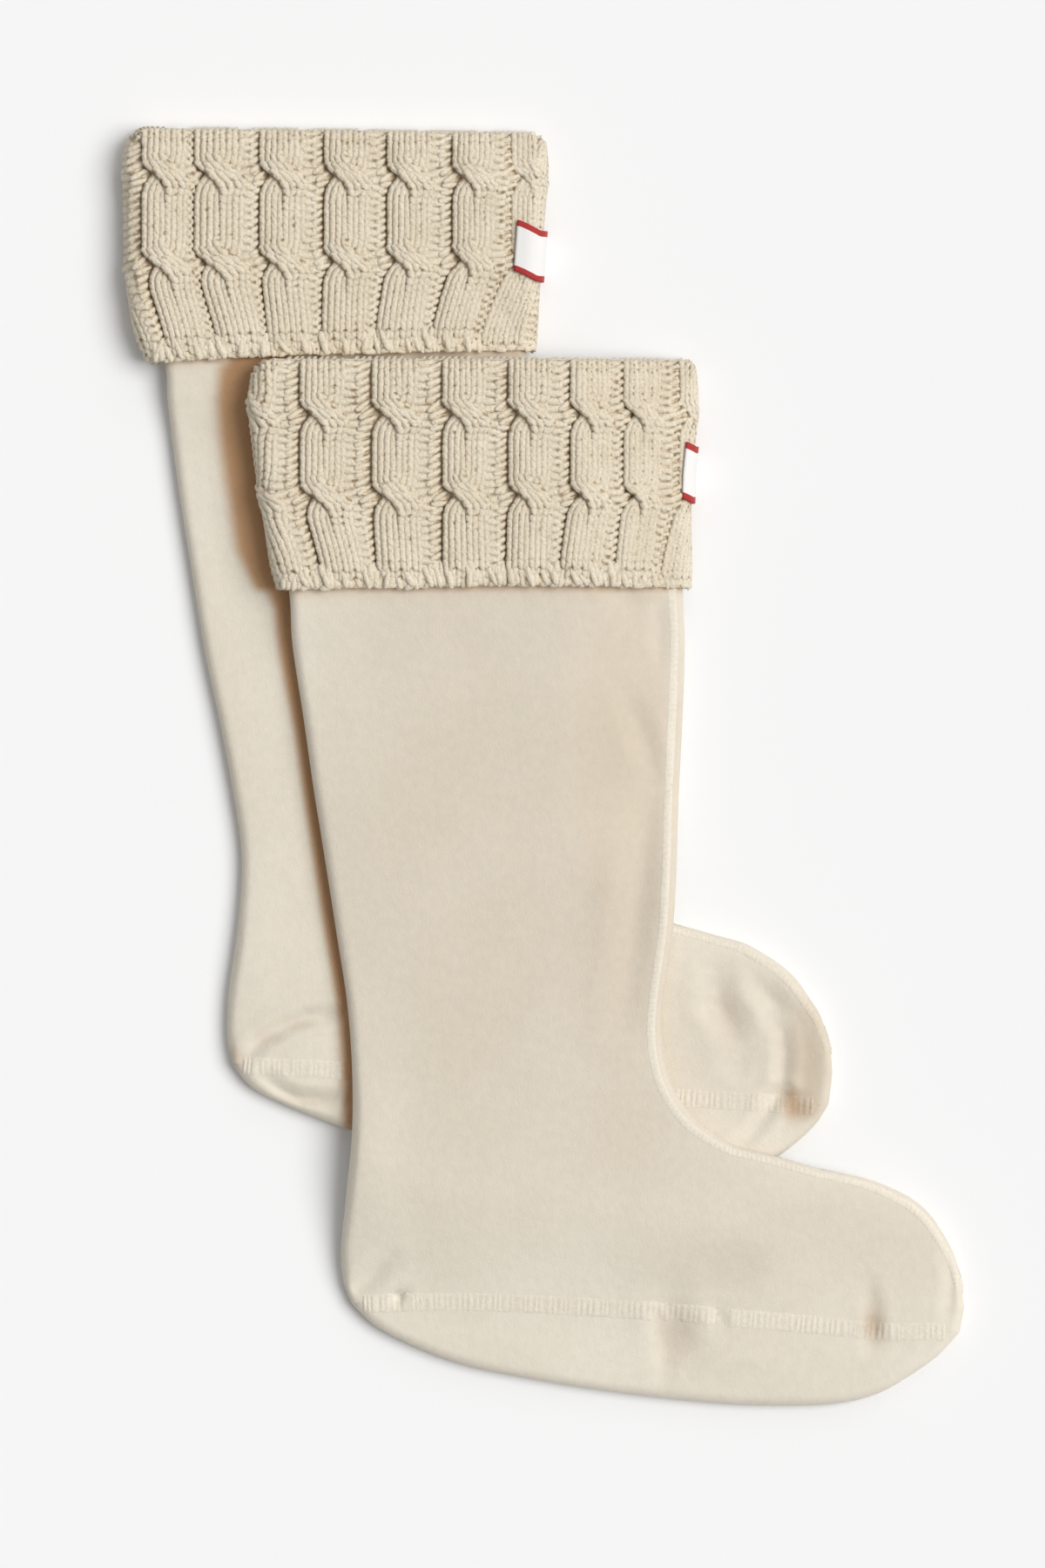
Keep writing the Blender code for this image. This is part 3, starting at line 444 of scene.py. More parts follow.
def refine(rows: Table, steps: int) -> Array:
    """Pass a Catmull-Rom curve through a table's rows.

    Args:
        rows: the table.
        steps: rows to return for each stretch between two of the table's.

    Returns:
        The finer table, its last row included.
    """
    table = np.array(rows)
    padded = np.vstack([2.0 * table[0] - table[1], table, 2.0 * table[-1] - table[-2]])
    share = np.arange(steps)[:, None] / steps
    finer = []
    for number in range(len(table) - 1):
        before, start, end, after = padded[number:number + 4]
        finer.append(0.5 * (
            2.0 * start
            + (end - before) * share
            + (2.0 * before - 5.0 * start + 4.0 * end - after) * share ** 2
            + (3.0 * start - before - 3.0 * end + after) * share ** 3
        ))
    return np.vstack([*finer, table[-1:]])


def unit(vectors: Array) -> Array:
    """Directions of the vectors in an array's last axis."""
    return vectors / np.maximum(np.linalg.norm(vectors, axis=-1, keepdims=True), 1e-9)


def turned(along: Array, normal: Array, turn: Array) -> Array:
    """Directions turned about their normals by angles in radians."""
    along = unit(along)
    return along * np.cos(turn)[:, None] + np.cross(along, normal) * np.sin(turn)[:, None]


def resample(line: Array, spacing: float) -> tuple[Array, Array]:
    """Evenly spaced points along a line.

    Args:
        line: the line's points, one a row.
        spacing: the wanted distance between points.

    Returns:
        The new points, and each one's distance from the start.
    """
    total = np.concatenate([[0.0], np.cumsum(np.linalg.norm(np.diff(line, axis=0), axis=1))])
    along = np.linspace(0.0, total[-1], max(int(round(total[-1] / spacing)), 2) + 1)
    return np.stack([np.interp(along, total, column) for column in line.T], axis=1), along


def polyline_distance(points: Array, line: Array) -> tuple[Array, Array]:
    """Distance from points to an open line.

    Args:
        points: plan points, one a row.
        line: the line's plan points, one a row.

    Returns:
        Each point's distance to the line, and the share of the line's length where it is nearest.
    """
    starts, ends = line[:-1], line[1:]
    along = ends - starts
    lengths = np.linalg.norm(along, axis=1)
    before = np.concatenate([[0.0], np.cumsum(lengths)])
    offset = points[:, None, :] - starts[None, :, :]
    share = np.clip((offset * along).sum(axis=2) / np.maximum(lengths ** 2, 1e-9), 0.0, 1.0)
    gaps = np.linalg.norm(offset - share[:, :, None] * along, axis=2)
    nearest = gaps.argmin(axis=1)
    rows = np.arange(len(points))
    travelled = before[nearest] + share[rows, nearest] * lengths[nearest]
    return gaps[rows, nearest], travelled / max(before[-1], 1e-9)


# -------- the form of a sock


@dataclass
class SockForm:
    """Heights of one sock over the surface, worked out from its plan, in millimetres.

    A sock may lie on one beneath.  The leg's and the foot's tables are refined to so many sections a row, and
    plan points are measured against the outline so many at a time.
    """

    plan: SockPlan
    beneath: SockForm | None = None
    leg_steps: int = 10
    foot_steps: int = 8
    batch: int = 4000
    leg: Array = field(init=False)
    foot: Array = field(init=False)
    outline: Array = field(init=False)
    cuff_low: float = field(init=False)

    def __post_init__(self) -> None:
        """Refine the plan's tables and trace the outline."""
        self.leg = refine(self.plan.leg_rows, self.leg_steps)
        self.foot = refine(self.plan.foot_rows, self.foot_steps)
        back = np.vstack([self.leg[::3, 0:2], self.foot[2::2, 0:2]])
        front = np.vstack([self.leg[::3, 2:4], self.foot[2::2, 4:6]])
        above_rim = np.array([[0.0, 2.0 * CUFF_STACK]])
        self.outline = np.vstack([back[:1] + above_rim, back, front[::-1], front[:1] + above_rim])
        self.cuff_low = min(y for _, y in self.plan.cuff_bottom)

    def edge_distance(self, points: Array) -> Array:
        """Distance in plan from each point to the sock's outline, negative outside it."""
        result = np.empty(len(points))
        for first in range(0, len(points), self.batch):
            result[first:first + self.batch] = self.batch_distance(points[first:first + self.batch])
        return result

    def batch_distance(self, points: Array) -> Array:
        """The same for one batch of points."""
        starts = self.outline
        ends = np.roll(starts, -1, axis=0)
        along = ends - starts
        offset = points[:, None, :] - starts
        share = np.clip((offset * along).sum(axis=2) / np.maximum((along ** 2).sum(axis=1), 1e-9), 0.0, 1.0)
        gaps = offset - share[:, :, None] * along
        distance = np.sqrt((gaps ** 2).sum(axis=2).min(axis=1))
        x, y = points[:, :1], points[:, 1:2]
        crosses = (starts[:, 1] > y) != (ends[:, 1] > y)
        rise = np.where(np.abs(along[:, 1]) > 1e-9, along[:, 1], 1e-9)
        crossing_x = starts[:, 0] + (y - starts[:, 1]) * along[:, 0] / rise
        inside = (crosses & (crossing_x > x)).sum(axis=1) % 2 == 1
        return np.where(inside, distance, -distance)

    def cuff_share(self, y: Array) -> Array:
        """1 under the cuff, easing to 0 where the leg lies on what is beneath it."""
        return 1.0 - smoothstep((self.cuff_low - LEG_FALL_START - y) / LEG_FALL)

    def base(self, points: Array) -> Array:
        """Height of what the sock lies on: the surface, or the sock beneath and the drape off it."""
        if self.beneath is None:
            return np.zeros(len(points))
        cover = 1.0 - ease(-self.beneath.edge_distance(points), DRAPE_START, DRAPE_LENGTH)
        share = self.beneath.cuff_share(points[:, 1])
        return cover * (STACK + PUFF + share * (CUFF_LIFT - PUFF) + STACK_GAP)

    def unevenness(self, points: Array) -> Array:
        """Gentle waves of cloth that lies loose."""
        return sum(height * np.array([noise.noise(Vector((x / across, y / along, layer))) for x, y in points])
                   for across, along, layer, height in WAVES)

    def cover_distance(self, points: Array) -> Array:
        """Distance in plan from each point to this sock, its cuff included, 0 under it."""
        rows = np.array(self.plan.cuff_rows)
        top, low = self.plan.cuff_top[0], self.cuff_low
        heights = top - rows[:, 0] * (top - low) / self.plan.cuff_height
        left = np.interp(points[:, 1], heights[::-1], rows[::-1, 1])
        x, y = points.T
        beside = np.where((y > low) & (y < top + CUFF_SHADE_REACH), np.maximum(left - x, 0.0), FAR_AWAY)
        above = np.where((x > left) & (y > top), y - top, FAR_AWAY)
        return np.minimum(np.maximum(-self.edge_distance(points), 0.0), np.minimum(beside, above))

    def surface(self, points: Array, side: Side) -> Array:
        """Height of the fleece's outer surface, with rounded edges.

        Args:
            points: plan points, one a row.
            side: which layer.

        Returns:
            The height at each point.
        """
        edge = np.maximum(self.edge_distance(points), 0.0)
        covered = self.cuff_share(points[:, 1])
        half = 0.5 * (STACK + PUFF * (1.0 - np.exp(-edge / PUFF_REACH)) * (1.0 - covered))
        lean = 1.0 - np.minimum(edge / half, 1.0)
        height = half * np.sqrt(np.maximum(1.0 - lean ** 2, 0.0))
        creases = self.plan.creases if side is Side.NEAR else self.plan.under_creases
        dent = sum(crease.dent(points) for crease in creases)
        if side is Side.NEAR:
            dent = dent - self.unevenness(points) * smoothstep(edge / WAVE_MARGIN) * (1.0 - covered)
        middle = self.base(points) + CUFF_LIFT * covered + half
        return middle + side.value * height - dent * smoothstep(edge / CREASE_MARGIN)


# -------- modelling helpers


def read(items: bpy.types.bpy_prop_collection, key: str, size: int = 3) -> Array:
    """A property of all of a mesh's vertices, faces or corners, one a row."""
    values = np.empty(len(items) * size)
    items.foreach_get(key, values)
    return values.reshape(-1, size)


class Modeller:
    """Blender's modelling operators in short calls."""

    @staticmethod
    def deselect() -> None:
        """Leave object mode's selection empty."""
        if bpy.context.object and bpy.context.object.mode != "OBJECT":
            bpy.ops.object.mode_set(mode="OBJECT")
        bpy.ops.object.select_all(action="DESELECT")

    @classmethod
    def activate(cls, obj: bpy.types.Object) -> None:
        """Select one object alone and make it active."""
        cls.deselect()
        obj.select_set(True)
        bpy.context.view_layer.objects.active = obj

    @classmethod
    def sheet(cls, name: str, places: Array) -> bpy.types.Object:
        """Add a grid and lay its points on a curved surface.

        Args:
            name: the new object's name.
            places: rows by columns by 3, in millimetres.

        Returns:
            The sheet, in metres, with its own UV map from the grid.
        """
        rows, columns = places.shape[:2]
        cls.deselect()
        bpy.ops.mesh.primitive_grid_add(x_subdivisions=columns - 1, y_subdivisions=rows - 1, size=1.0)
        obj = bpy.context.object
        obj.name = name
        obj.data.name = name
        flat = read(obj.data.vertices, "co")
        column = np.rint((flat[:, 0] + 0.5) * (columns - 1)).astype(int)
        row = np.rint((flat[:, 1] + 0.5) * (rows - 1)).astype(int)
        obj.data.vertices.foreach_set("co", (places[row, column] * MM).ravel())
        obj.data.update()
        return obj

    @classmethod
    def edit(cls, obj: bpy.types.Object) -> None:
        """Enter edit mode with all of an object selected."""
        cls.activate(obj)
        bpy.ops.object.mode_set(mode="EDIT")
        bpy.ops.mesh.select_all(action="SELECT")

    @classmethod
    def flip(cls, obj: bpy.types.Object) -> None:
        """Turn all the faces of an object over."""
        cls.edit(obj)
        bpy.ops.mesh.flip_normals()
        bpy.ops.object.mode_set(mode="OBJECT")

    @classmethod
    def close(cls, obj: bpy.types.Object, open_ends: bool = False, merge: float = 2e-6) -> None:
        """Merge the points that meet and turn the faces outwards.

        Args:
            obj: the sheet, closed on itself or, with open ends, a flat tube.
            open_ends: whether it is such a tube, whose outside Blender can't tell.
            merge: distance within which points meet, in metres.
        """
        cls.edit(obj)
        bpy.ops.mesh.remove_doubles(threshold=merge)
        bpy.ops.mesh.normals_make_consistent(inside=False)
        bpy.ops.object.mode_set(mode="OBJECT")
        if open_ends and not cls.faces_up(obj):
            cls.flip(obj)

    @staticmethod
    def faces_up(obj: bpy.types.Object) -> bool:
        """Whether the faces in the upper half of a flat tube point up."""
        height = read(obj.data.polygons, "center")[:, 2]
        up = read(obj.data.polygons, "normal")[:, 2]
        return float((up * (height - np.median(height))).sum()) > 0.0

    @classmethod
    def thicken(cls, obj: bpy.types.Object, wall: float) -> None:
        """Give a sheet its wall, on its inner side.

        Args:
            obj: the sheet.
            wall: thickness in millimetres.
        """
        cls.activate(obj)
        modifier = obj.modifiers.new("wall", "SOLIDIFY")
        modifier.thickness = wall * MM
        modifier.offset = -1.0
        modifier.use_even_offset = False
        bpy.ops.object.modifier_apply(modifier="wall")

    @classmethod
    def smooth(cls, obj: bpy.types.Object) -> None:
        """Shade an object smoothly."""
        cls.activate(obj)
        bpy.ops.object.shade_smooth()


@dataclass(frozen=True)
class Pit:
    """The hollow beside each stitch, painted dark as shade, in millimetres from the stitch's middle.

    The stitch's own half width and half length come first, then the hollow's place across and along it,
    half its length, and whether it comes again on the stitch's other side or at its other end.  The painted
    shade of the groove between stitches starts at a share of the half width.
    """

    half_width: float
    half_length: float
    across: float
    along: float
    reach: float = 0.0
    both_sides: bool = False
    both_ends: bool = False
    groove_start: float = 0.5

    def offsets(self, places: Array) -> Array:
        """The way from the hollow to each point of a bead, and how far into the painted shade of the groove
        between stitches the point is.

        Args:
            places: the bead's points, 1 from the middle to each side and end.

        Returns:
            The way across, the way along and 1 at the bead's sides, one point a row.
        """
        side, end = places[:, 0], places[:, 1]
        across = (np.abs(side) if self.both_sides else side) * self.half_width - self.across
        along = (np.abs(end) if self.both_ends else end) * self.half_length - self.along
        if self.reach:
            along = np.maximum(np.abs(along) - self.reach, 0.0)
        # how far into the groove's painted shade
        groove_shade = ease(np.abs(side), self.groove_start, 1.0 - self.groove_start)
        return np.stack([across, along, groove_shade], axis=1)


NO_PIT = (9.0, 9.0, 0.0)


@dataclass
class Bead:
    """A small closed shape, modelled once and then copied for every stitch of its kind."""

    segments: int
    rings: int
    fullness: float = 0.3
    pit: Pit | None = None
    hollow: Array = field(init=False)
    points: Array = field(init=False)
    faces: list[tuple[int, ...]] = field(init=False)
    uvs: Array = field(init=False)

    def __post_init__(self) -> None:
        """Model a sphere whose ends are filled out, 1 from its middle to each side and end, and read it."""
        Modeller.deselect()
        bpy.ops.mesh.primitive_uv_sphere_add(segments=self.segments, ring_count=self.rings, radius=1.0,
                                             rotation=(math.radians(90.0), 0.0, 0.0))
        obj = bpy.context.object
        bpy.ops.object.transform_apply(rotation=True)
        mesh = obj.data
        places = read(mesh.vertices, "co")
        away = np.linalg.norm(places[:, [0, 2]], axis=1)
        off_axis = np.maximum(away, 1e-4)
        wider = np.where(away > 1e-4, off_axis ** (1.0 - self.fullness) / off_axis, 1.0)
        places[:, 0] *= wider
        places[:, 2] *= wider
        self.points = places
        self.hollow = np.full(places.shape, NO_PIT) if self.pit is None else self.pit.offsets(places)
        self.faces = [tuple(face.vertices) for face in mesh.polygons]
        self.uvs = read(mesh.uv_layers.active.data, "uv", 2)
        bpy.data.objects.remove(obj)
        bpy.data.meshes.remove(mesh)


@dataclass
class StitchSet:
    """Places, directions and sizes of many copies of a bead, in millimetres."""

    centre: Array
    along: Array
    normal: Array
    size: Array

    @classmethod
    def join(cls, parts: list[StitchSet]) -> StitchSet:
        """One set from several."""
        return cls(*(np.concatenate([getattr(part, key) for part in parts])
                     for key in ("centre", "along", "normal", "size")))

    def build(self, name: str, bead: Bead) -> bpy.types.Object:
        """Join the copies into one mesh.

        Args:
            name: the new object's name.
            bead: the shape to copy; its x is across, its y along and its z away from the cloth.

        Returns:
            The object, in metres, each copy with its own points.
        """
        normal = unit(self.normal)
        along = unit(self.along - (self.along * normal).sum(axis=1, keepdims=True) * normal)
        across = np.cross(along, normal)
        shape = bead.points[None, :, :] * self.size[:, None, :]
        places = (self.centre[:, None, :] + shape[:, :, 0:1] * across[:, None, :]
                  + shape[:, :, 1:2] * along[:, None, :] + shape[:, :, 2:3] * normal[:, None, :])
        count = len(bead.points)
        faces = [tuple(corner + copy * count for corner in face)
                 for copy in range(len(self.centre)) for face in bead.faces]
        mesh = bpy.data.meshes.new(name)
        mesh.from_pydata((places.reshape(-1, 3) * MM).tolist(), [], faces)
        layer = mesh.uv_layers.new(name="UVMap")
        layer.data.foreach_set("uv", np.tile(bead.uvs, (len(self.centre), 1)).ravel())
        # where the painted shade of pits and grooves falls on each stitch
        hollow = mesh.attributes.new("hollow", "FLOAT_VECTOR", "POINT")
        hollow.data.foreach_set("vector", np.tile(bead.hollow, (len(self.centre), 1)).ravel())
        mesh.shade_smooth()
        obj = bpy.data.objects.new(name, mesh)
        bpy.context.scene.collection.objects.link(obj)
        return obj


# -------- finishes


@dataclass
class Graph:
    """A material's nodes in short calls."""

    name: str
    material: bpy.types.Material = field(init=False)
    tree: bpy.types.NodeTree = field(init=False)
    shader: bpy.types.Node = field(init=False)
    place: bpy.types.Node = field(init=False)

    def __post_init__(self) -> None:
        """Start an empty material with its output and shader."""
        self.material = bpy.data.materials.new(self.name)
        self.material.use_nodes = True
        self.tree = self.material.node_tree
        self.shader = self.tree.nodes["Principled BSDF"]
        self.place = self.add("ShaderNodeTexCoord")

    def add(self, kind: str, **settings: object) -> bpy.types.Node:
        """Add a node and set its properties."""
        node = self.tree.nodes.new(kind)
        for key, value in settings.items():
            setattr(node, key, value)
        return node

    def link(self, source: bpy.types.NodeSocket, target: bpy.types.NodeSocket) -> None:
        """Join two sockets."""
        self.tree.links.new(source, target)

    def noise(self, scale: float, detail: float = 2.0,
              stretch: tuple[float, float, float] = (1.0, 1.0, 1.0)) -> bpy.types.NodeSocket:
        """Noise on object coordinates.

        Args:
            scale: features for each metre.
            detail: octaves.
            stretch: scale of each axis.

        Returns:
            The noise's factor.
        """
        mapping = self.add("ShaderNodeMapping")
        mapping.inputs["Scale"].default_value = stretch
        self.link(self.place.outputs["Object"], mapping.inputs["Vector"])
        texture = self.add("ShaderNodeTexNoise")
        texture.inputs["Scale"].default_value = scale
        texture.inputs["Detail"].default_value = detail
        self.link(mapping.outputs["Vector"], texture.inputs["Vector"])
        return texture.outputs["Fac"]

    def blend(self, factor: bpy.types.NodeSocket, first: Colour, second: Colour,
              low: float = 0.35, high: float = 0.65) -> bpy.types.NodeSocket:
        """Blend two colours by a factor between two limits.

        Args:
            factor: the factor's socket.
            first: the colour up to the lower limit.
            second: the colour from the upper limit on.
            low: the lower limit.
            high: the upper limit.

        Returns:
            The blended colour.
        """
        ramp = self.add("ShaderNodeValToRGB")
        ramp.color_ramp.elements[0].position = low
        ramp.color_ramp.elements[0].color = (*first, 1.0)
        ramp.color_ramp.elements[1].position = high
        ramp.color_ramp.elements[1].color = (*second, 1.0)
        self.link(factor, ramp.inputs["Fac"])
        return ramp.outputs["Color"]

    def multiply(self, first: bpy.types.NodeSocket, second: bpy.types.NodeSocket) -> bpy.types.NodeSocket:
        """Multiply two colours."""
        mix = self.add("ShaderNodeMix", data_type="RGBA", blend_type="MULTIPLY")
        mix.inputs["Factor"].default_value = 1.0
        self.link(first, mix.inputs["A"])
        self.link(second, mix.inputs["B"])
        return mix.outputs["Result"]

    def tint(self, attribute: str, colour: Colour) -> bpy.types.NodeSocket:
        """White where a mesh's attribute is 0, and a colour where it is 1."""
        return self.blend(self.attribute(attribute).outputs["Fac"], WHITE, colour, 0.0, 1.0)

    def attribute(self, name: str) -> bpy.types.Node:
        """A mesh's attribute."""
        return self.add("ShaderNodeAttribute", attribute_name=name)

    def split(self, vector: bpy.types.NodeSocket) -> bpy.types.Node:
        """A vector's X, Y and Z."""
        node = self.add("ShaderNodeSeparateXYZ")
        self.link(vector, node.inputs["Vector"])
        return node

    def calculate(self, operation: str, *operands: bpy.types.NodeSocket | float) -> bpy.types.NodeSocket:
        """Join sockets and numbers in a Math node."""
        node = self.add("ShaderNodeMath", operation=operation)
        for number, operand in enumerate(operands):
            if isinstance(operand, float):
                node.inputs[number].default_value = operand
            else:
                self.link(operand, node.inputs[number])
        return node.outputs["Value"]

    def bump(self, height: bpy.types.NodeSocket, distance: float, strength: float = 1.0,
             under: bpy.types.NodeSocket | None = None) -> bpy.types.NodeSocket:
        """Turn a height into a normal.

        Args:
            height: the height's socket.
            distance: its full height in millimetres.
            strength: how much of it shows.
            under: a normal to add to.

        Returns:
            The normal.
        """
        node = self.add("ShaderNodeBump")
        node.inputs["Distance"].default_value = distance * MM
        node.inputs["Strength"].default_value = strength
        self.link(height, node.inputs["Height"])
        if under is not None:
            self.link(under, node.inputs["Normal"])
        return node.outputs["Normal"]

    def finish(self, colour: bpy.types.NodeSocket, normal: bpy.types.NodeSocket | None,
               roughness: float = 0.95, specular: float = 0.15, sheen: float = 0.0,
               sheen_roughness: float = 0.5) -> bpy.types.Material:
        """Join the shader's colour and normal, and set its constants.

        Args:
            colour: the base colour.
            normal: the normal, if there is a bump.
            roughness: how matt it is.
            specular: level of the plain reflection.
            sheen: weight of the soft edge of light on cloth.
            sheen_roughness: how wide that edge is.

        Returns:
            The material.
        """
        self.link(colour, self.shader.inputs["Base Color"])
        if normal is not None:
            self.link(normal, self.shader.inputs["Normal"])
        for key, value in (("Roughness", roughness), ("Specular IOR Level", specular),
                           ("Sheen Weight", sheen), ("Sheen Roughness", sheen_roughness)):
            self.shader.inputs[key].default_value = value
        return self.material


@dataclass(frozen=True)
class FleeceFinish:
    """Brushed anti-pill fleece: a soft short nap with faint cloudiness."""

    name: str = "cream_fleece"
    light: Colour = (0.785, 0.722, 0.610)
    deep: Colour = (0.748, 0.682, 0.568)
    # tint of painted shade, partly a darker nap
    nap_and_shade_tint: Colour = (0.79, 0.727, 0.666)
    # warm brown of painted contact shade
    painted_shade_colour: Colour = (0.68, 0.44, 0.28)
    fleck: Colour = (0.965, 0.965, 0.965)

    def build(self) -> bpy.types.Material:
        """Make the material; two attributes say where painted shade darkens it, partly as a darker nap, and
        where painted brown shade lies.
        """
        graph = Graph(self.name)
        clouds = graph.blend(graph.noise(16.0, detail=3.0), self.deep, self.light)
        # painted shade, partly a darker nap, from the nap attribute
        clouds = graph.multiply(clouds, graph.tint("nap", self.nap_and_shade_tint))
        # painted brown shade beside the sock on top, below the cuff's border and in folds
        clouds = graph.multiply(clouds, graph.tint("painted_shade", self.painted_shade_colour))
        flecks = graph.blend(graph.noise(260.0), self.fleck, WHITE)
        nap = graph.bump(graph.noise(1500.0, detail=3.0), distance=0.22, strength=0.55)
        clumps = graph.noise(430.0, stretch=(1.0, 0.7, 1.0))
        tufts = graph.bump(clumps, distance=0.35, strength=0.4, under=nap)
        return graph.finish(graph.multiply(clouds, flecks), tufts, sheen=0.2)


@dataclass(frozen=True)
class KnitFinish:
    """Soft two-ply yarn, with painted shade in the pits and grooves between stitches.

    A pit of painted shade has a radius in millimetres, noise moves its edge by up to an unevenness, which is
    eased back by a level, and its shade fades between two shares of twice the radius.
    """

    name: str = "cream_yarn"
    light: Colour = (0.880, 0.795, 0.645)
    deep: Colour = (0.818, 0.724, 0.568)
    fleck: Colour = (0.84, 0.82, 0.78)
    # painted shade in the pits and grooves between stitches
    pit_shade: Colour = (0.50, 0.405, 0.295)
    groove_shade: Colour = (0.89, 0.86, 0.81)
    pit_radius: float = 0.56
    pit_unevenness: float = 2.4
    pit_level: float = 1.0
    pit_fade: tuple[float, float] = (0.15, 0.9)
    turns: float = 5.0
    twist: float = 35.0

    def painted_pit_shade(self, graph: Graph) -> bpy.types.NodeSocket:
        """The painted shade of the pits and grooves, to multiply by, from the stitches' own attribute."""
        place = graph.split(graph.attribute("hollow").outputs["Vector"])
        flat = graph.add("ShaderNodeCombineXYZ")
        graph.link(place.outputs["X"], flat.inputs["X"])
        graph.link(place.outputs["Y"], flat.inputs["Y"])
        length = graph.add("ShaderNodeVectorMath", operation="LENGTH")
        graph.link(flat.outputs["Vector"], length.inputs[0])
        scale = 0.5 / self.pit_radius
        away = graph.calculate("MULTIPLY_ADD", graph.noise(300.0, detail=1.0), self.pit_unevenness,
                               length.outputs["Value"])
        away = graph.calculate("MULTIPLY_ADD", away, scale, -self.pit_level * scale)
        # painted shade of the pits, then of the grooves
        pits = graph.blend(away, self.pit_shade, WHITE, *self.pit_fade)
        return graph.multiply(pits, graph.blend(place.outputs["Z"], WHITE, self.groove_shade, 0.0, 1.0))

    def build(self) -> bpy.types.Material:
        """Make the material; the ply's twist follows each stitch's own UV map."""
        graph = Graph(self.name)
        tone = graph.blend(graph.noise(90.0, detail=3.0), self.deep, self.light, 0.3, 0.7)
        flecks = graph.blend(graph.noise(1300.0), self.fleck, WHITE, 0.3, 0.6)
        tone = graph.multiply(tone, self.painted_pit_shade(graph))
        mapping = graph.add("ShaderNodeMapping")
        mapping.inputs["Rotation"].default_value = (0.0, 0.0, math.radians(self.twist))
        graph.link(graph.place.outputs["UV"], mapping.inputs["Vector"])
        twist = graph.add("ShaderNodeTexWave", wave_profile="SIN")
        twist.inputs["Scale"].default_value = self.turns
        twist.inputs["Distortion"].default_value = 1.0
        graph.link(mapping.outputs["Vector"], twist.inputs["Vector"])
        ply = graph.bump(twist.outputs["Fac"], distance=0.14, strength=0.6)
        fuzz = graph.bump(graph.noise(900.0, detail=4.0), distance=0.85, strength=0.65, under=ply)
        fibres = graph.bump(graph.noise(3200.0, detail=3.0), distance=0.16, strength=0.7, under=fuzz)
        return graph.finish(graph.multiply(tone, flecks), fibres, sheen=0.25)


@dataclass(frozen=True)
class KnitGroundFinish:
    """The knit's ground between its stitches, in shade, and cream where no stitch covers it.

    The ground's v runs down the outside and up the inside; only what lies near the middle is in shade.
    """

    name: str = "yarn_ground"
    cream: Colour = (0.86, 0.79, 0.66)
    light: Colour = (0.86, 0.73, 0.53)
    deep: Colour = (0.62, 0.47, 0.30)
    middle: float = 0.44
    shaded_reach: tuple[float, float] = (0.345, 0.370)

    def build(self) -> bpy.types.Material:
        """Make the material."""
        graph = Graph(self.name)
        shaded = graph.blend(graph.noise(520.0, 3.0, (1.0, 1.6, 1.0)), self.deep, self.light, 0.40, 0.58)
        down = graph.split(graph.place.outputs["UV"]).outputs["Y"]
        away = graph.calculate("ABSOLUTE", graph.calculate("SUBTRACT", down, self.middle))
        tone = graph.add("ShaderNodeMix", data_type="RGBA")
        graph.link(graph.blend(away, BLACK, WHITE, *self.shaded_reach), tone.inputs["Factor"])
        graph.link(shaded, tone.inputs["A"])
        tone.inputs["B"].default_value = (*self.cream, 1.0)
        loops = graph.bump(graph.noise(520.0, stretch=(1.0, 1.5, 1.0)), distance=0.6, strength=0.6)
        fibres = graph.bump(graph.noise(2600.0, detail=3.0), distance=0.16, strength=0.6, under=loops)
        return graph.finish(tone.outputs["Result"], fibres, sheen=0.15)


@dataclass(frozen=True)
class ThreadFinish:
    """Soft textured thread of the flatlock seams."""

    name: str = "seam_thread"
    light: Colour = (0.800, 0.735, 0.622)
    deep: Colour = (0.745, 0.677, 0.562)

    def build(self) -> bpy.types.Material:
        """Make the material."""
        graph = Graph(self.name)
        tone = graph.blend(graph.noise(700.0), self.deep, self.light)
        # the fleece's painted shade, partly a darker nap
        tone = graph.multiply(tone, graph.tint("nap", FleeceFinish.nap_and_shade_tint))
        # the fleece's painted brown shade
        tone = graph.multiply(tone, graph.tint("painted_shade", FleeceFinish.painted_shade_colour))
        fibres = graph.bump(graph.noise(1500.0, detail=3.0), distance=0.3, strength=0.6)
        return graph.finish(tone, fibres, roughness=0.85, specular=0.25, sheen=0.2)


@dataclass(frozen=True)
class TapeFinish:
    """Smooth woven tape: white, with a plain red band at each end."""

    name: str = "woven_tape"
    ground: Colour = (0.86, 0.84, 0.82)
    band: Colour = (0.42, 0.025, 0.022)
    band_share: float = 0.12
    band_edge: float = 0.006
    picks: float = 70.0
    ends: float = 56.0

    def build(self) -> bpy.types.Material:
        """Make the material on the tape's UV map, whose v runs from its upper end to its lower one."""
        graph = Graph(self.name)
        down = graph.split(graph.place.outputs["UV"]).outputs["Y"]
        inwards = graph.calculate("PINGPONG", down, 0.5)
        tone = graph.blend(inwards, self.band, self.ground, self.band_share - self.band_edge, self.band_share)
        weave = None
        for threads, direction in ((self.picks, "Y"), (self.ends, "X")):
            waves = graph.add("ShaderNodeTexWave", wave_profile="SIN", bands_direction=direction)
            waves.inputs["Scale"].default_value = threads / math.pi
            graph.link(graph.place.outputs["UV"], waves.inputs["Vector"])
            weave = graph.bump(waves.outputs["Fac"], distance=0.08, strength=0.5, under=weave)
        return graph.finish(tone, weave, roughness=0.55, specular=0.35, sheen=0.1, sheen_roughness=0.4)


@dataclass(frozen=True)
class FloorFinish:
    """Plain pale paper."""

    name: str = "pale_floor"
    light: Colour = (0.905, 0.905, 0.905)
    deep: Colour = (0.900, 0.900, 0.900)

    def build(self) -> bpy.types.Material:
        """Make the material."""
        graph = Graph(self.name)
        tone = graph.blend(graph.noise(3.0, 1.0), self.deep, self.light)
        return graph.finish(tone, None, roughness=1.0, specular=0.0)


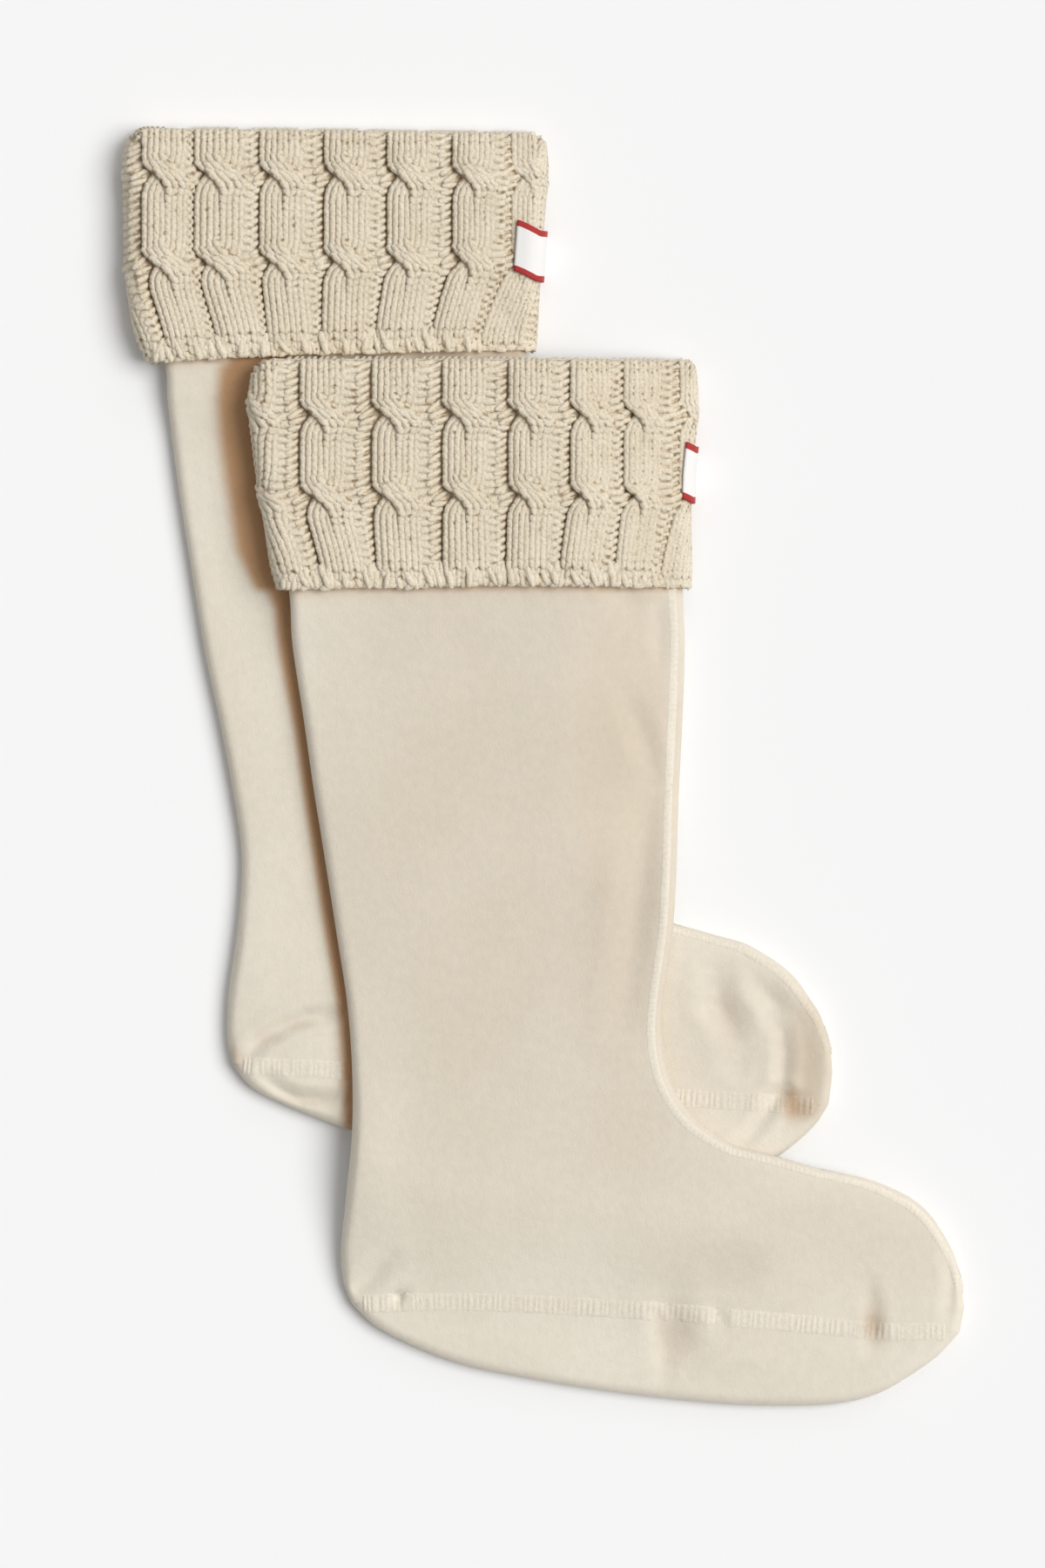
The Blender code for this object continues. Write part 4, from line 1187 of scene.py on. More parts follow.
@dataclass
class Finishes:
    """All the finishes, each made once."""

    fleece: bpy.types.Material = field(default_factory=FleeceFinish().build)
    knit: bpy.types.Material = field(default_factory=KnitFinish().build)
    ground: bpy.types.Material = field(default_factory=KnitGroundFinish().build)
    thread: bpy.types.Material = field(default_factory=ThreadFinish().build)
    tape: bpy.types.Material = field(default_factory=TapeFinish().build)
    floor: bpy.types.Material = field(default_factory=FloorFinish().build)


def dress(obj: bpy.types.Object, material: bpy.types.Material, node: str | None = None) -> None:
    """Finish a piece, and say what it rides on and stands for.

    Args:
        obj: the piece.
        material: its finish.
        node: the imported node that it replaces, if any.
    """
    obj.data.materials.clear()
    obj.data.materials.append(material)
    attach(obj, BODY)
    if node is not None:
        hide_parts(node)
    LOG.info("%s: %d faces", obj.name, len(obj.data.polygons))


# -------- fleece pieces


@dataclass(frozen=True)
class FleeceTone:
    """Where painted shade lies on a sock's fleece, partly as a darker nap, and painted brown shade beside a
    sock on top.

    Both are written only on faces that look up.  A little painted shade lies on the leg just below the cuff's
    border.  Each pair of numbers is the start and the reach of an ease.
    """

    form: SockForm
    over: SockForm | None = None
    # plan height, then how far from the sock on top the cloth is at its darkest and how far it then fades
    strip: Table = (
        (-200.0, 1.5, 3.0), (-60.0, 2.8, 4.0), (10.0, 2.4, 4.0), (63.0, 4.0, 5.0), (88.0, 10.0, 7.5),
    )
    deepest: float = 2.5
    facing_up: tuple[float, float] = (-0.1, 0.4)
    # painted shade just below the cuff's border
    border_shade: float = 0.55
    border_fade: float = 3.0
    upper_part: tuple[float, float] = (65.0, 25.0)
    lower_across: tuple[float, float] = (20.0, -30.0)
    upper_across: tuple[float, float] = (-20.0, -60.0)
    under_over: tuple[float, float] = (6.0, 10.0)

    def beside(self, plan: Array) -> Array:
        """How much painted brown shade lies beside the sock on top, at plan points."""
        x, y = plan.T
        up = ease(y, *self.upper_part)
        heights, starts, fades = np.array(self.strip).T
        start, fade = np.interp(y, heights, starts), np.interp(y, heights, fades)
        shaded = (1.0 - up) * ease(x, *self.lower_across) + up * ease(x, *self.upper_across)
        painted_shade = (1.0 - ease(self.over.cover_distance(plan), start, fade)) * shaded
        return painted_shade * (1.0 - ease(self.over.edge_distance(plan), *self.under_over))

    def write(self, obj: bpy.types.Object) -> None:
        """Write both as attributes of a piece's points."""
        plan = read(obj.data.vertices, "co")[:, :2] / MM
        shown = ease(read(obj.data.vertex_normals, "vector")[:, 2], *self.facing_up)
        border = read_table(self.form.plan.cuff_bottom, plan[:, 0]) - plan[:, 1]
        # painted shade just below the cuff's border, then beside the sock on top and in the shade patches
        painted_shade = self.border_shade * (1.0 - smoothstep(border / self.border_fade))
        if self.over is not None:
            painted_shade = np.maximum(painted_shade, self.beside(plan))
        painted_shade = np.maximum(painted_shade, patch_tone(plan, self.form.plan.shade_patches))
        # both attributes carry painted shade; the nap one is partly a darker nap
        for name, values in (("nap", patch_tone(plan, self.form.plan.nap) / self.deepest), ("painted_shade", painted_shade)):
            obj.data.attributes.new(name, "FLOAT", "POINT").data.foreach_set("value", values * shown)


@dataclass
class FleeceTube:
    """What the upper and the sole share: rows of plan points laid on both layers of the sock."""

    form: SockForm
    tone: FleeceTone
    wall: float = 2.4
    near_columns: int = 92
    far_columns: int = 20
    edge_columns: int = 8
    edge_share: float = 0.4
    join_gap: float = 0.05

    def distances(self, widths: Array, middle: int) -> Array:
        """Distances across rows of these widths, closer together at both edges.

        Args:
            widths: each row's width.
            middle: columns between the two edges.

        Returns:
            Rows by columns.
        """
        radius = np.minimum(0.5 * STACK, self.edge_share * widths)[:, None]
        angles = np.linspace(0.0, 0.5 * np.pi, self.edge_columns + 1)
        edge = radius * (1.0 - np.cos(angles))
        share = np.linspace(0.0, 1.0, middle + 2)[1:-1]
        inside = radius + (widths[:, None] - 2.0 * radius) * share
        return np.hstack([edge, inside, widths[:, None] - edge[:, ::-1]])

    def layer(self, starts: Array, ends: Array, middle: int, side: Side) -> Array:
        """Points of one layer.

        Args:
            starts: each row's plan point where it starts.
            ends: each row's plan point where it ends.
            middle: columns between the two edges.
            side: which layer.

        Returns:
            Rows by columns by 3, in millimetres.
        """
        across = ends - starts
        distances = self.distances(np.linalg.norm(across, axis=1), middle)
        plan = starts[:, None, :] + unit(across)[:, None, :] * distances[:, :, None]
        heights = self.form.surface(plan.reshape(-1, 2), side).reshape(plan.shape[:2])
        return np.dstack([plan, heights])

    def tube(self, name: str, starts: Array, ends: Array, middle: tuple[int, int]) -> bpy.types.Object:
        """Both layers as one sheet, from the start over the near layer, round the fold and back.

        Args:
            name: the new object's name.
            starts: each row's plan point where the near layer starts.
            ends: each row's plan point at the fold.
            middle: columns of the near layer and of the far one.

        Returns:
            The piece with its wall.
        """
        near = self.layer(starts, ends, middle[0], Side.NEAR)
        far = self.layer(starts, ends, middle[1], Side.FAR)[:, -2::-1]
        obj = Modeller.sheet(name, np.concatenate([near, far], axis=1))
        Modeller.close(obj, open_ends=True)
        Modeller.thicken(obj, self.wall)
        Modeller.smooth(obj)
        self.tone.write(obj)
        return obj


@dataclass
class FleeceUpper(FleeceTube):
    """The leg and the foot's upper part, folded at the back and seamed down the shin."""

    flat: tuple[float, float] = (0.50, 0.44)
    area: float = 0.145

    def build(self, finishes: Finishes) -> bpy.types.Object:
        """Make the leg and dress it."""
        form = self.form
        seam, instep = form.foot[1:, 2:4], form.foot[1:, 4:6]
        starts = np.vstack([form.leg[:, 0:2], seam + unit(instep - seam) * self.join_gap])
        ends = np.vstack([form.leg[:, 2:4], instep])
        name = form.plan.name
        obj = self.tube(f"{name}_leg_cloth", starts, ends, (self.near_columns, self.far_columns))
        dress(obj, finishes.fleece, f"{name}_leg")
        return obj


@dataclass
class FleeceSole(FleeceTube):
    """The sole strip, folded along the foot's lower outline."""

    flat: tuple[float, float] = (0.075, 0.28)
    area: float = 0.0145
    middle: tuple[int, int] = (22, 8)

    def build(self, finishes: Finishes) -> bpy.types.Object:
        """Make the sole and dress it."""
        foot = self.form.foot
        edge, seam, instep = foot[:, 0:2], foot[:, 2:4], foot[:, 4:6]
        starts = seam - unit(instep - seam) * self.join_gap
        starts[0] = edge[0]
        name = self.form.plan.name
        obj = self.tube(f"{name}_sole_cloth", starts, edge, self.middle)
        dress(obj, finishes.fleece, f"{name}_sole")
        return obj


@dataclass
class SeamBand:
    """A flatlock seam: a low uneven band of cover threads across a join.

    The threads come once a pitch and are higher where the seam is gathered.  The band is cut short by the
    trims, narrows and sinks over its ends, and its underside and outer edges are sunk into the cloth.
    Places across it are in half widths.
    """

    form: SockForm
    tone: FleeceTone
    name: str
    line: Array
    half_width: float
    rise: float
    pitch: float
    slant: float = 0.0
    steps: int = 6
    sunk: float = 0.9
    seat: float = 0.03
    edge_tuck: float = 0.3
    ends: float = 3.0
    end_width: float = 0.7
    trims: tuple[float, float] = (0.0, 3.0)
    gathered: float = 0.0
    gathered_reach: float = 9.0
    puckered: float = 0.3
    over: tuple[float, ...] = (-1.08, -0.9, -0.6, -0.2, 0.2, 0.6, 0.9, 1.08)
    under: tuple[float, ...] = (0.8, -0.8)

    def ripple(self, along: Array, length: float, layer: float) -> Array:
        """Noise along the band, between -1 and 1."""
        return np.array([noise.noise(Vector((place / length, layer, self.half_width))) for place in along])

    def threads(self, plan: Array, along: Array) -> Array:
        """How high the threads stand.

        Args:
            plan: plan points along the middle.
            along: each one's distance from the start.

        Returns:
            Rows by places across, about 1 for a usual thread at the middle.
        """
        over = np.array(self.over)
        wander, patchy = self.ripple(along, 4.0, 0.0)[:, None], self.ripple(along, 11.0, 4.0)[:, None]
        turn = 2.0 * np.pi * (along[:, None] / self.pitch + self.slant * over + 0.6 * wander)
        ribs = (0.5 + 0.5 * np.cos(turn)) * np.clip(0.8 + 1.3 * patchy, 0.1, 1.3)
        gathers = 1.0 + self.gathered * np.exp(-((along / self.gathered_reach) ** 2))
        strength = gathers + self.puckered * patch_tone(plan, self.form.plan.nap[1:])
        return (1.0 - over ** 2) * (0.3 + 0.7 * ribs * strength[:, None])

    def build(self, finishes: Finishes) -> bpy.types.Object:
        """Make the band as a closed low ridge whose top rises and falls with each thread, and dress it."""
        plan, along = resample(self.line, self.pitch / self.steps)
        inside = (along >= self.trims[0]) & (along <= along[-1] - self.trims[1])
        plan, along = plan[inside], along[inside] - self.trims[0]
        forward = unit(np.gradient(plan, axis=0))
        sideways = np.stack([-forward[:, 1], forward[:, 0]], axis=1)
        full = smoothstep(np.minimum(along, along[-1] - along) / self.ends)
        narrowed = self.end_width + (1.0 - self.end_width) * full
        reach = self.half_width * narrowed * (1.0 + 0.10 * self.ripple(along, 1.3, 2.0))
        offsets = np.array(self.over + self.under)
        points = plan[:, None, :] + sideways[:, None, :] * (offsets * reach[:, None])[:, :, None]
        heights = self.form.surface(points.reshape(-1, 2), Side.NEAR).reshape(points.shape[:2])
        raised = self.threads(plan, along) * full[:, None]
        outermost = np.abs(np.array(self.over)) > 1.0
        top = len(self.over)
        heights[:, :top] += self.rise * raised - self.seat - self.edge_tuck * outermost
        heights[:, :top] -= 0.5 * self.sunk * (1.0 - full[:, None])
        heights[:, top:] -= self.sunk
        ring = np.dstack([points, heights])
        ring = np.concatenate([ring, ring[:, :1]], axis=1)
        ring[0], ring[-1] = ring[0].mean(axis=0), ring[-1].mean(axis=0)
        obj = Modeller.sheet(self.name, ring)
        Modeller.close(obj)
        Modeller.smooth(obj)
        self.tone.write(obj)
        dress(obj, finishes.thread)
        return obj


# -------- knit cuff


@dataclass
class CuffSurface:
    """Points of a cuff by distance down its cloth, place round it and height over its plain surface.

    Its two top corners are rounded to a radius, over a depth of some radii.
    """

    form: SockForm
    corner: float = 4.5
    corner_share: float = 0.94
    corner_depth: float = 3.0
    rolled_turn: float = 0.75 * math.pi
    plan: SockPlan = field(init=False)
    down: Array = field(init=False)
    back: Array = field(init=False)
    shin: Array = field(init=False)

    def __post_init__(self) -> None:
        """Read the cuff's rows."""
        self.plan = self.form.plan
        self.down, self.back, self.shin = np.array(self.plan.cuff_rows).T

    def edges(self, down: Array) -> tuple[Array, Array, Array]:
        """Where the flat part starts and ends along X, and where the shin edge is."""
        back = np.interp(down, self.down, self.back)
        shin = np.interp(down, self.down, self.shin)
        return back + CUFF_HALF, shin - CUFF_HALF, shin

    def girth(self, down: Array) -> Array:
        """The distance once round."""
        start, end, _ = self.edges(down)
        return 2.0 * (end - start) + 2.0 * np.pi * CUFF_HALF

    def wrap(self, down: Array, round_it: Array) -> Array:
        """The same places, counted from the near layer so that none goes past the far layer's ends."""
        start, end, _ = self.edges(down)
        furthest = end + np.pi * CUFF_HALF + 0.5 * (end - start)
        girth = self.girth(down)
        return round_it - girth * np.ceil((round_it - furthest) / girth)

    def plan_y(self, x: Array, down: Array) -> Array:
        """The plan height of a place; the lower part stretches to the border's slanting edge."""
        height = self.plan.cuff_height
        top = np.interp(x, (self.back[0], self.shin[0]), self.plan.cuff_top)
        bottom = read_table(self.plan.cuff_bottom, x)
        share = ease(down, STRETCH_START, height - STRETCH_START)
        beside = np.clip(self.corner - np.minimum(x - self.back[0], self.shin[0] - x), 0.0, self.corner)
        drop = self.corner - np.sqrt(self.corner ** 2 - (self.corner_share * beside) ** 2)
        drop = drop * (1.0 - smoothstep(down / (self.corner_depth * self.corner)))
        return top - down - (top - bottom - height) * share - drop

    def place(self, down: Array, round_it: Array, lift: Array) -> Array:
        """Points of the cuff.

        Args:
            down: distance below the top edge.
            round_it: place round the cuff, equal to x on the near layer's flat part, more past the shin edge.
            lift: height over the plain outer surface.

        Returns:
            One point a row, in millimetres.
        """
        start, end, shin = self.edges(down)
        round_it = self.wrap(down, round_it)
        over_shin = np.clip((round_it - end) / CUFF_HALF, 0.0, np.pi)
        over_back = np.clip((start - round_it) / CUFF_HALF, 0.0, np.pi)
        past_shin = np.maximum(round_it - end - np.pi * CUFF_HALF, 0.0)
        past_back = np.maximum(start - round_it - np.pi * CUFF_HALF, 0.0)
        radius = CUFF_HALF + lift
        ground_x = np.clip(round_it, start, end) - past_shin + past_back
        x = ground_x + radius * np.sin(over_shin) - radius * np.sin(over_back)
        level = CUFF_HALF + radius * np.cos(over_shin + over_back)
        curl = EDGE_RISE * smoothstep(2.0 * (1.0 - (shin - x) / EDGE_RISE_REACH))
        level = np.maximum(level, curl * np.clip(1.0 + lift / KNIT_WALL, 0.0, 1.0) - lift)
        y = self.plan_y(x, down)
        ground = self.form.base(np.stack([ground_x, y], axis=1))
        y = y + FAR_LAYER_RISE * (1.0 - level / CUFF_STACK) * (1.0 - smoothstep(down / FAR_RISE_REACH))
        return np.stack([x, y, ground + level], axis=1)

    def cloth(self, travel: Array, round_it: Array, lift: Array) -> Array:
        """The same by distance along the cloth, which bends over the rolled top."""
        lean = np.clip((ROLL - travel) / ROLL, 0.0, self.rolled_turn)
        rolled = lean > 0.0
        down = np.where(rolled, ROLL - (ROLL + lift) * np.sin(lean), travel)
        over = np.where(rolled, (ROLL + lift) * np.cos(lean) - ROLL, lift)
        return self.place(down, round_it, over)


@dataclass
class CableLayout:
    """How the cables and the purl gaps run round a cuff, and how high they stand.

    At a crossing a cable has a waist, and the strands of one half rise over those of the other, which sink.
    The relief is full on the near layer, and eases off round the back edge, over some half stacks, and just
    before the last cable at the shin, as it does at the rolled top and at the border.  Each pair of numbers
    is the start and the reach of an ease.
    """

    surface: CuffSurface
    far_cables: int = 6
    far_gap: float = 0.34
    waist: float = 3.6
    # where a cable's edge is drawn in: distance after the crossing, reach, share of the waist
    left_waists: Table = ((1.0, 4.4, 1.0),)
    right_waists: Table = ((-3.5, 3.6, -0.35), (4.5, 3.6, 0.3))
    crossing_reach: float = 5.8
    lag: float = 0.6
    over_rise: float = 1.3
    under_sink: float = 1.3
    back_fade: float = 2.3
    shin_fade: tuple[float, float] = (-6.5, 7.0)
    hem_start: float = -1.0
    border_fade: tuple[float, float] = (-3.0, 5.0)
    border_drop: float = 0.35
    flat_level: float = -0.85
    far_drop: float = 0.2

    @property
    def count(self) -> int:
        """The number of cables round the cuff."""
        return len(self.surface.plan.cables) + self.far_cables

    def bump(self, travel: Array, reach: float) -> Array:
        """1 at each crossing, fading over a reach."""
        return sum(np.exp(-(((travel - cross) / reach) ** 2)) for cross in self.surface.plan.crossings)

    def drawn_in(self, edge: Array, waists: Table, travel: Array) -> Array:
        """A cable's edge with its waists."""
        for after, reach, share in waists:
            edge = edge + share * self.waist * self.bump(travel - after, reach)
        return edge

    def table_span(self, number: int, travel: Array) -> tuple[Array, Array]:
        """The left and right of a cable of the plan's table."""
        left, right, low_left, low_right = self.surface.plan.cables[number]
        half_way = 0.5 * self.surface.plan.cuff_height
        share = ease(travel, half_way, half_way)
        return (self.drawn_in(left + (low_left - left) * share, self.left_waists, travel),
                self.drawn_in(right + (low_right - right) * share, self.right_waists, travel))

    def span(self, number: int, travel: Array) -> tuple[Array, Array]:
        """The left and right of a cable; those of the far layer share out what the table leaves."""
        known = len(self.surface.plan.cables)
        if number < known:
            return self.table_span(number, travel)
        if number == self.count:
            left, right = self.table_span(0, travel)
            girth = self.surface.girth(travel)
            return left + girth, right + girth
        start = self.table_span(known - 1, travel)[1]
        end = self.table_span(0, travel)[0] + self.surface.girth(travel)
        pitch = (end - start) / (self.far_cables + self.far_gap * (self.far_cables + 1.0))
        gap = self.far_gap * pitch
        left = start + gap + (number - known) * (pitch + gap)
        return left, left + pitch

    def fullness(self, travel: Array, round_it: Array) -> Array:
        """1 on the near layer, easing to 0 round the back edge and before the last cable at the shin."""
        start = self.surface.edges(travel)[0]
        round_it = self.surface.wrap(travel, round_it)
        back = 1.0 - smoothstep((start - round_it) / CUFF_HALF / self.back_fade)
        last_left = self.table_span(len(self.surface.plan.cables) - 1, travel)[0]
        return back * (1.0 - ease(round_it - last_left, *self.shin_fade))

    def flat_lift(self, travel: Array, round_it: Array) -> Array:
        """Height of a stitch's middle where the knit lies flat: lower on the far layer."""
        start, end, _ = self.surface.edges(travel)
        round_it = self.surface.wrap(travel, round_it)
        turned_by = np.maximum((round_it - end) / CUFF_HALF, (start - round_it) / CUFF_HALF)
        return self.flat_level - self.far_drop * smoothstep(turned_by / np.pi)

    def fade(self, travel: Array) -> Array:
        """The relief eases off at the rolled top and at the border."""
        low = self.surface.plan.cuff_height - BORDER_DEPTH
        eased = 1.0 - self.border_drop * ease(travel - low, *self.border_fade)
        return ease(travel, self.hem_start, HEM_DEPTH) * eased


# From a cable's one side at -1 to the other at 1: the stitches' share of the relief, and the ground's height
CABLE_PROFILE = (
    (-1.0, 0.30), (-0.93, 0.62), (-0.8, 0.86), (-0.5, 1.0),
    (0.1, 1.0), (0.5, 0.96), (0.8, 0.88), (1.0, 0.72),
)
GROUND_PROFILE = (
    (-1.0, -1.9), (-0.95, -0.3), (-0.88, 0.7), (-0.6, 1.55),
    (0.0, 1.75), (0.5, 1.65), (0.8, 1.45), (1.0, 1.25),
)
# The ground's height across the gap after a cable, from 0 to 1
GAP_PROFILE = ((0.0, 1.5), (0.3, 1.75), (0.46, 1.4), (0.64, 0.75), (0.80, -0.4), (1.0, -1.2))


@dataclass
class CuffGround:
    """The knit's cloth under its stitches: one wall from the inner hem over the top to the border.

    Its lift over the plain surface sinks at the crossings, lies a little below the stitches where the knit
    is flat, eases to one level at the top and the border, and goes no deeper than a limit.
    """

    layout: CableLayout
    top_rows: int = 7
    rows: int = 62
    cable_columns: tuple[float, ...] = (-1.0, -0.95, -0.88, -0.6, -0.2, 0.2, 0.6, 0.85, 1.0)
    gap_columns: tuple[float, ...] = (0.2, 0.4, 0.6, 0.75, 0.9)
    crossing_reach: float = 5.0
    crossing_sink: float = 0.5
    below_stitches: float = 0.3
    end_level: float = -1.1
    deepest: float = -2.4
    edge_gap: float = 0.6
    edge_lift: float = -1.2
    inner_rows: int = 12
    # distance down and lift of the rows inside the thick top
    hem_rows: Table = (
        (HEM_DEPTH, 0.6 - HEM_THICKNESS),
        (HEM_DEPTH - 1.0, -HEM_THICKNESS),
        (ROLL, -HEM_THICKNESS),
        (0.9, 0.9 - HEM_THICKNESS),
    )
    flat: tuple[float, float] = (0.37, 0.100)

    def columns(self, travel: Array) -> list[tuple[Array, Array]]:
        """Each column's place round the cuff and its lift on the near layer, over the rows."""
        layout = self.layout
        crossing = layout.bump(travel, self.crossing_reach)
        found = []
        for number in range(layout.count):
            left, right = layout.span(number, travel)
            following = layout.span(number + 1, travel)[0]
            for share in self.cable_columns:
                sunk = self.crossing_sink * crossing * (1.0 - abs(share) ** 4)
                place = left + (right - left) * 0.5 * (share + 1.0)
                found.append((place, read_table(GROUND_PROFILE, share) - sunk))
            for share in self.gap_columns:
                lift = np.full(len(travel), read_table(GAP_PROFILE, share))
                found.append((right + (following - right) * share, lift))
        place, lift = found[0]
        return [*found, (place + layout.surface.girth(travel), lift)]

    def outer(self) -> Array:
        """Points outside, from the middle of the roll down to the border, rows by columns by 3."""
        layout = self.layout
        roll = np.linspace(-0.5 * np.pi * ROLL + ROLL, ROLL, self.top_rows)
        straight = np.linspace(ROLL, layout.surface.plan.cuff_height - self.edge_gap, self.rows)
        travel = np.concatenate([roll, straight[1:]])
        found = []
        for place, lift in self.columns(travel):
            flat = layout.flat_lift(travel, place) - self.below_stitches
            shown = flat + (lift - flat) * layout.fullness(travel, place)
            faded = self.end_level + (shown - self.end_level) * layout.fade(travel)
            found.append(layout.surface.cloth(travel, place, np.maximum(faded, self.deepest)))
        return np.stack(found, axis=1)

    def inner(self) -> Array:
        """Points inside, from the border up to the thick top, rows by columns by 3."""
        surface = self.layout.surface
        height = surface.plan.cuff_height
        hem_down, hem_lift = np.array(self.hem_rows).T
        down = np.concatenate([[height], np.linspace(height, HEM_DEPTH, self.inner_rows), hem_down])
        lift = np.concatenate([[self.edge_lift], np.full(self.inner_rows, -KNIT_WALL), hem_lift])
        return np.stack([surface.place(down, place, lift) for place, _ in self.columns(down)], axis=1)

    def build(self, finishes: Finishes) -> bpy.types.Object:
        """Make the cuff's ground and dress it."""
        name = self.layout.surface.plan.name
        wall = np.concatenate([self.outer(), self.inner()], axis=0)
        obj = Modeller.sheet(f"{name}_cuff_knit", np.concatenate([wall, wall[:1]], axis=0))
        Modeller.close(obj)
        Modeller.smooth(obj)
        dress(obj, finishes.ground, f"{name}_cuff")
        return obj


@dataclass(frozen=True)
class PurlColumn:
    """A column of purl bars in the gap after each cable.

    Its place is a share of the gap.  The bars lean in the cloth and their right ends dive, both in degrees.
    The height is that on the near layer, the reach is half a bar's length as a share of the gap, and the
    first row's place is in rows.
    """

    share: float
    tilt: float
    height: float
    dip: float
    reach: float
    first_row: float
    half_width: float


@dataclass
class CuffStitches:
    """The stitches that show: knit columns that cross in each cable, and purl bars between cables.

    Sizes are those of a stitch's half; what is uneven is the spread of random draws.  Stitches stretch with
    the cloth between two limits, the upper one less near the round top corners, and are shorter on the
    rolled top.
    """

    layout: CableLayout
    row: float = 3.07
    first_row: float = 0.2
    last_row: float = 3.4
    legs: int = 8
    half_width: float = 1.62
    half_length: float = 2.9
    half_thickness: float = 1.1
    below_surface: float = 0.55
    least_rise: float = 0.12
    lean: float = 12.0
    crossing_reach: float = 6.5
    crossing_upright: float = 0.9
    crossing_width: float = 0.22
    # how far before and after a crossing the upper strands still stand high
    over_reach: tuple[float, float] = (5.0, 7.5)
    under_reach: float = 3.6
    under_delay: float = 1.0
    odd_leg_shift: float = 0.06
    ahead: float = 0.5
    uneven_turn: float = 0.04
    uneven_width: float = 0.04
    uneven_length: float = 0.03
    least_stretch: float = 0.9
    top_stretch: float = 1.05
    more_stretch: float = 0.40
    top_depth: float = 6.0
    hem_share: float = 0.62
    hem_reach: float = 3.0
    purls: tuple[PurlColumn, ...] = (
        PurlColumn(0.17, 2.0, 1.62, 4.0, 0.44, 0.5, 2.1),
        PurlColumn(0.64, 24.0, 0.95, 22.0, 0.36, 0.0, 1.42),
    )
    purl_below: float = 0.25
    purl_slope: float = 0.4
    uneven_purl_turn: float = 0.10
    uneven_purl_length: float = 0.06
    leg_pit: Pit = Pit(1.62, 2.9, 1.16, 1.54, both_ends=True)
    bar_pit: Pit = Pit(2.1, 4.0, 1.50, 1.8, 0.9, both_sides=True)
    seed: int = 11
    surface: CuffSurface = field(init=False)
    rows: Array = field(init=False)
    random: np.random.Generator = field(init=False)

    def __post_init__(self) -> None:
        """Set the rows."""
        self.surface = self.layout.surface
        low = self.surface.plan.cuff_height - BORDER_DEPTH + self.last_row
        self.rows = np.arange(self.first_row, low, self.row)
        self.random = np.random.default_rng(self.seed)

    def uneven(self, spread: float) -> Array:
        """A random draw for each row, about 0."""
        return self.random.normal(0.0, spread, len(self.rows))

    def frame(self, travel: Array, place: Array, lift: Array,
              slope: Array) -> tuple[Array, Array, Array, Array]:
        """Points on the cuff with the direction down the cloth and away from it.

        Args:
            travel: distance along the cloth.
            place: place round the cuff.
            lift: height.
            slope: change of place with travel.

        Returns:
            The points, the directions along, the normals, and how many times its travel a step along is.
        """
        centre = self.surface.cloth(travel, place, lift)
        along = self.surface.cloth(travel + STEP, place + slope * STEP, lift) - centre
        normal = self.surface.cloth(travel, place, lift + STEP) - centre
        return centre, unit(along), unit(normal), np.linalg.norm(along, axis=1) / STEP

    def column_place(self, number: int, leg: int, travel: Array) -> tuple[Array, Array]:
        """Where one column of half stitches runs.

        Args:
            number: the cable's number.
            leg: the column's number in the cable.
            travel: distance along the cloth.

        Returns:
            Its place round the cuff, and its rise over or under the others at the crossings.
        """
        layout = self.layout
        left, right = layout.span(number, travel)
        half = 0.5 * (right - left)
        here = -1.0 + (leg + 0.5) * 2.0 / self.legs
        offset = np.full(len(travel), here)
        rise = np.zeros(len(travel))
        for cross in self.surface.plan.crossings:
            over = here < 0.0
            target = here + 1.0 if over else here - 1.0
            delay = layout.lag * half * (-(here + 0.5) if over else here - 0.5)
            past = travel - cross - delay
            crossed = ease(past, -layout.crossing_reach, 2.0 * layout.crossing_reach)
            offset = offset + (target - here) * crossed
            if over:
                before, after = self.over_reach
                rise = rise + layout.over_rise * np.exp(-((past / np.where(past > 0.0, after, before)) ** 2))
            else:
                away = (past - self.under_delay) / self.under_reach
                rise = rise - layout.under_sink * np.exp(-(away ** 2))
            here = target
        return left + half * (offset + 1.0), rise

    def longest(self, travel: Array) -> Array:
        """How much a stitch may stretch: little at the top, where the corners are round."""
        return self.top_stretch + self.more_stretch * ease(travel, self.top_depth, self.top_depth)

    def hem(self, travel: Array) -> Array:
        """How much shorter stitches are on the rolled top."""
        return self.hem_share + (1.0 - self.hem_share) * smoothstep(travel / self.hem_reach)

    def knit_column(self, number: int, leg: int) -> StitchSet:
        """One column of half stitches of a cable; odd columns lean the other way and lie upside down."""
        layout = self.layout
        way = 1.0 if leg % 2 == 0 else -1.0
        travel = self.rows + self.row * (self.odd_leg_shift * (leg % 2))
        place, rise = self.column_place(number, leg, travel)
        ahead = self.column_place(number, leg, travel + self.ahead)[0]
        left, right = layout.span(number, travel)
        share = np.clip(2.0 * (place - left) / (right - left) - 1.0, -1.0, 1.0)
        full = layout.fullness(travel, place) * layout.fade(travel)
        flat = layout.flat_lift(travel, place)
        raised = CABLE_RELIEF * read_table(CABLE_PROFILE, share) - self.below_surface
        lift = flat + (raised - flat) * full + rise * np.clip(full, self.least_rise, 1.0)
        centre, along, normal, stretch = self.frame(travel, place, lift, (ahead - place) / self.ahead)
        crossing = layout.bump(travel, self.crossing_reach)
        lean = math.radians(self.lean) * -way * (1.0 - self.crossing_upright * np.minimum(crossing, 1.0))
        along = turned(along, normal, lean + self.uneven(self.uneven_turn)) * way
        width = self.half_width * (1.0 + self.uneven(self.uneven_width) + self.crossing_width * crossing)
        length = self.half_length * np.clip(stretch, self.least_stretch, self.longest(travel))
        length = length * (1.0 + self.uneven(self.uneven_length)) * self.hem(travel)
        thickness = self.half_thickness * (0.5 + 0.5 * full)
        return StitchSet(centre, along, normal, np.stack([width, length, thickness], axis=1))

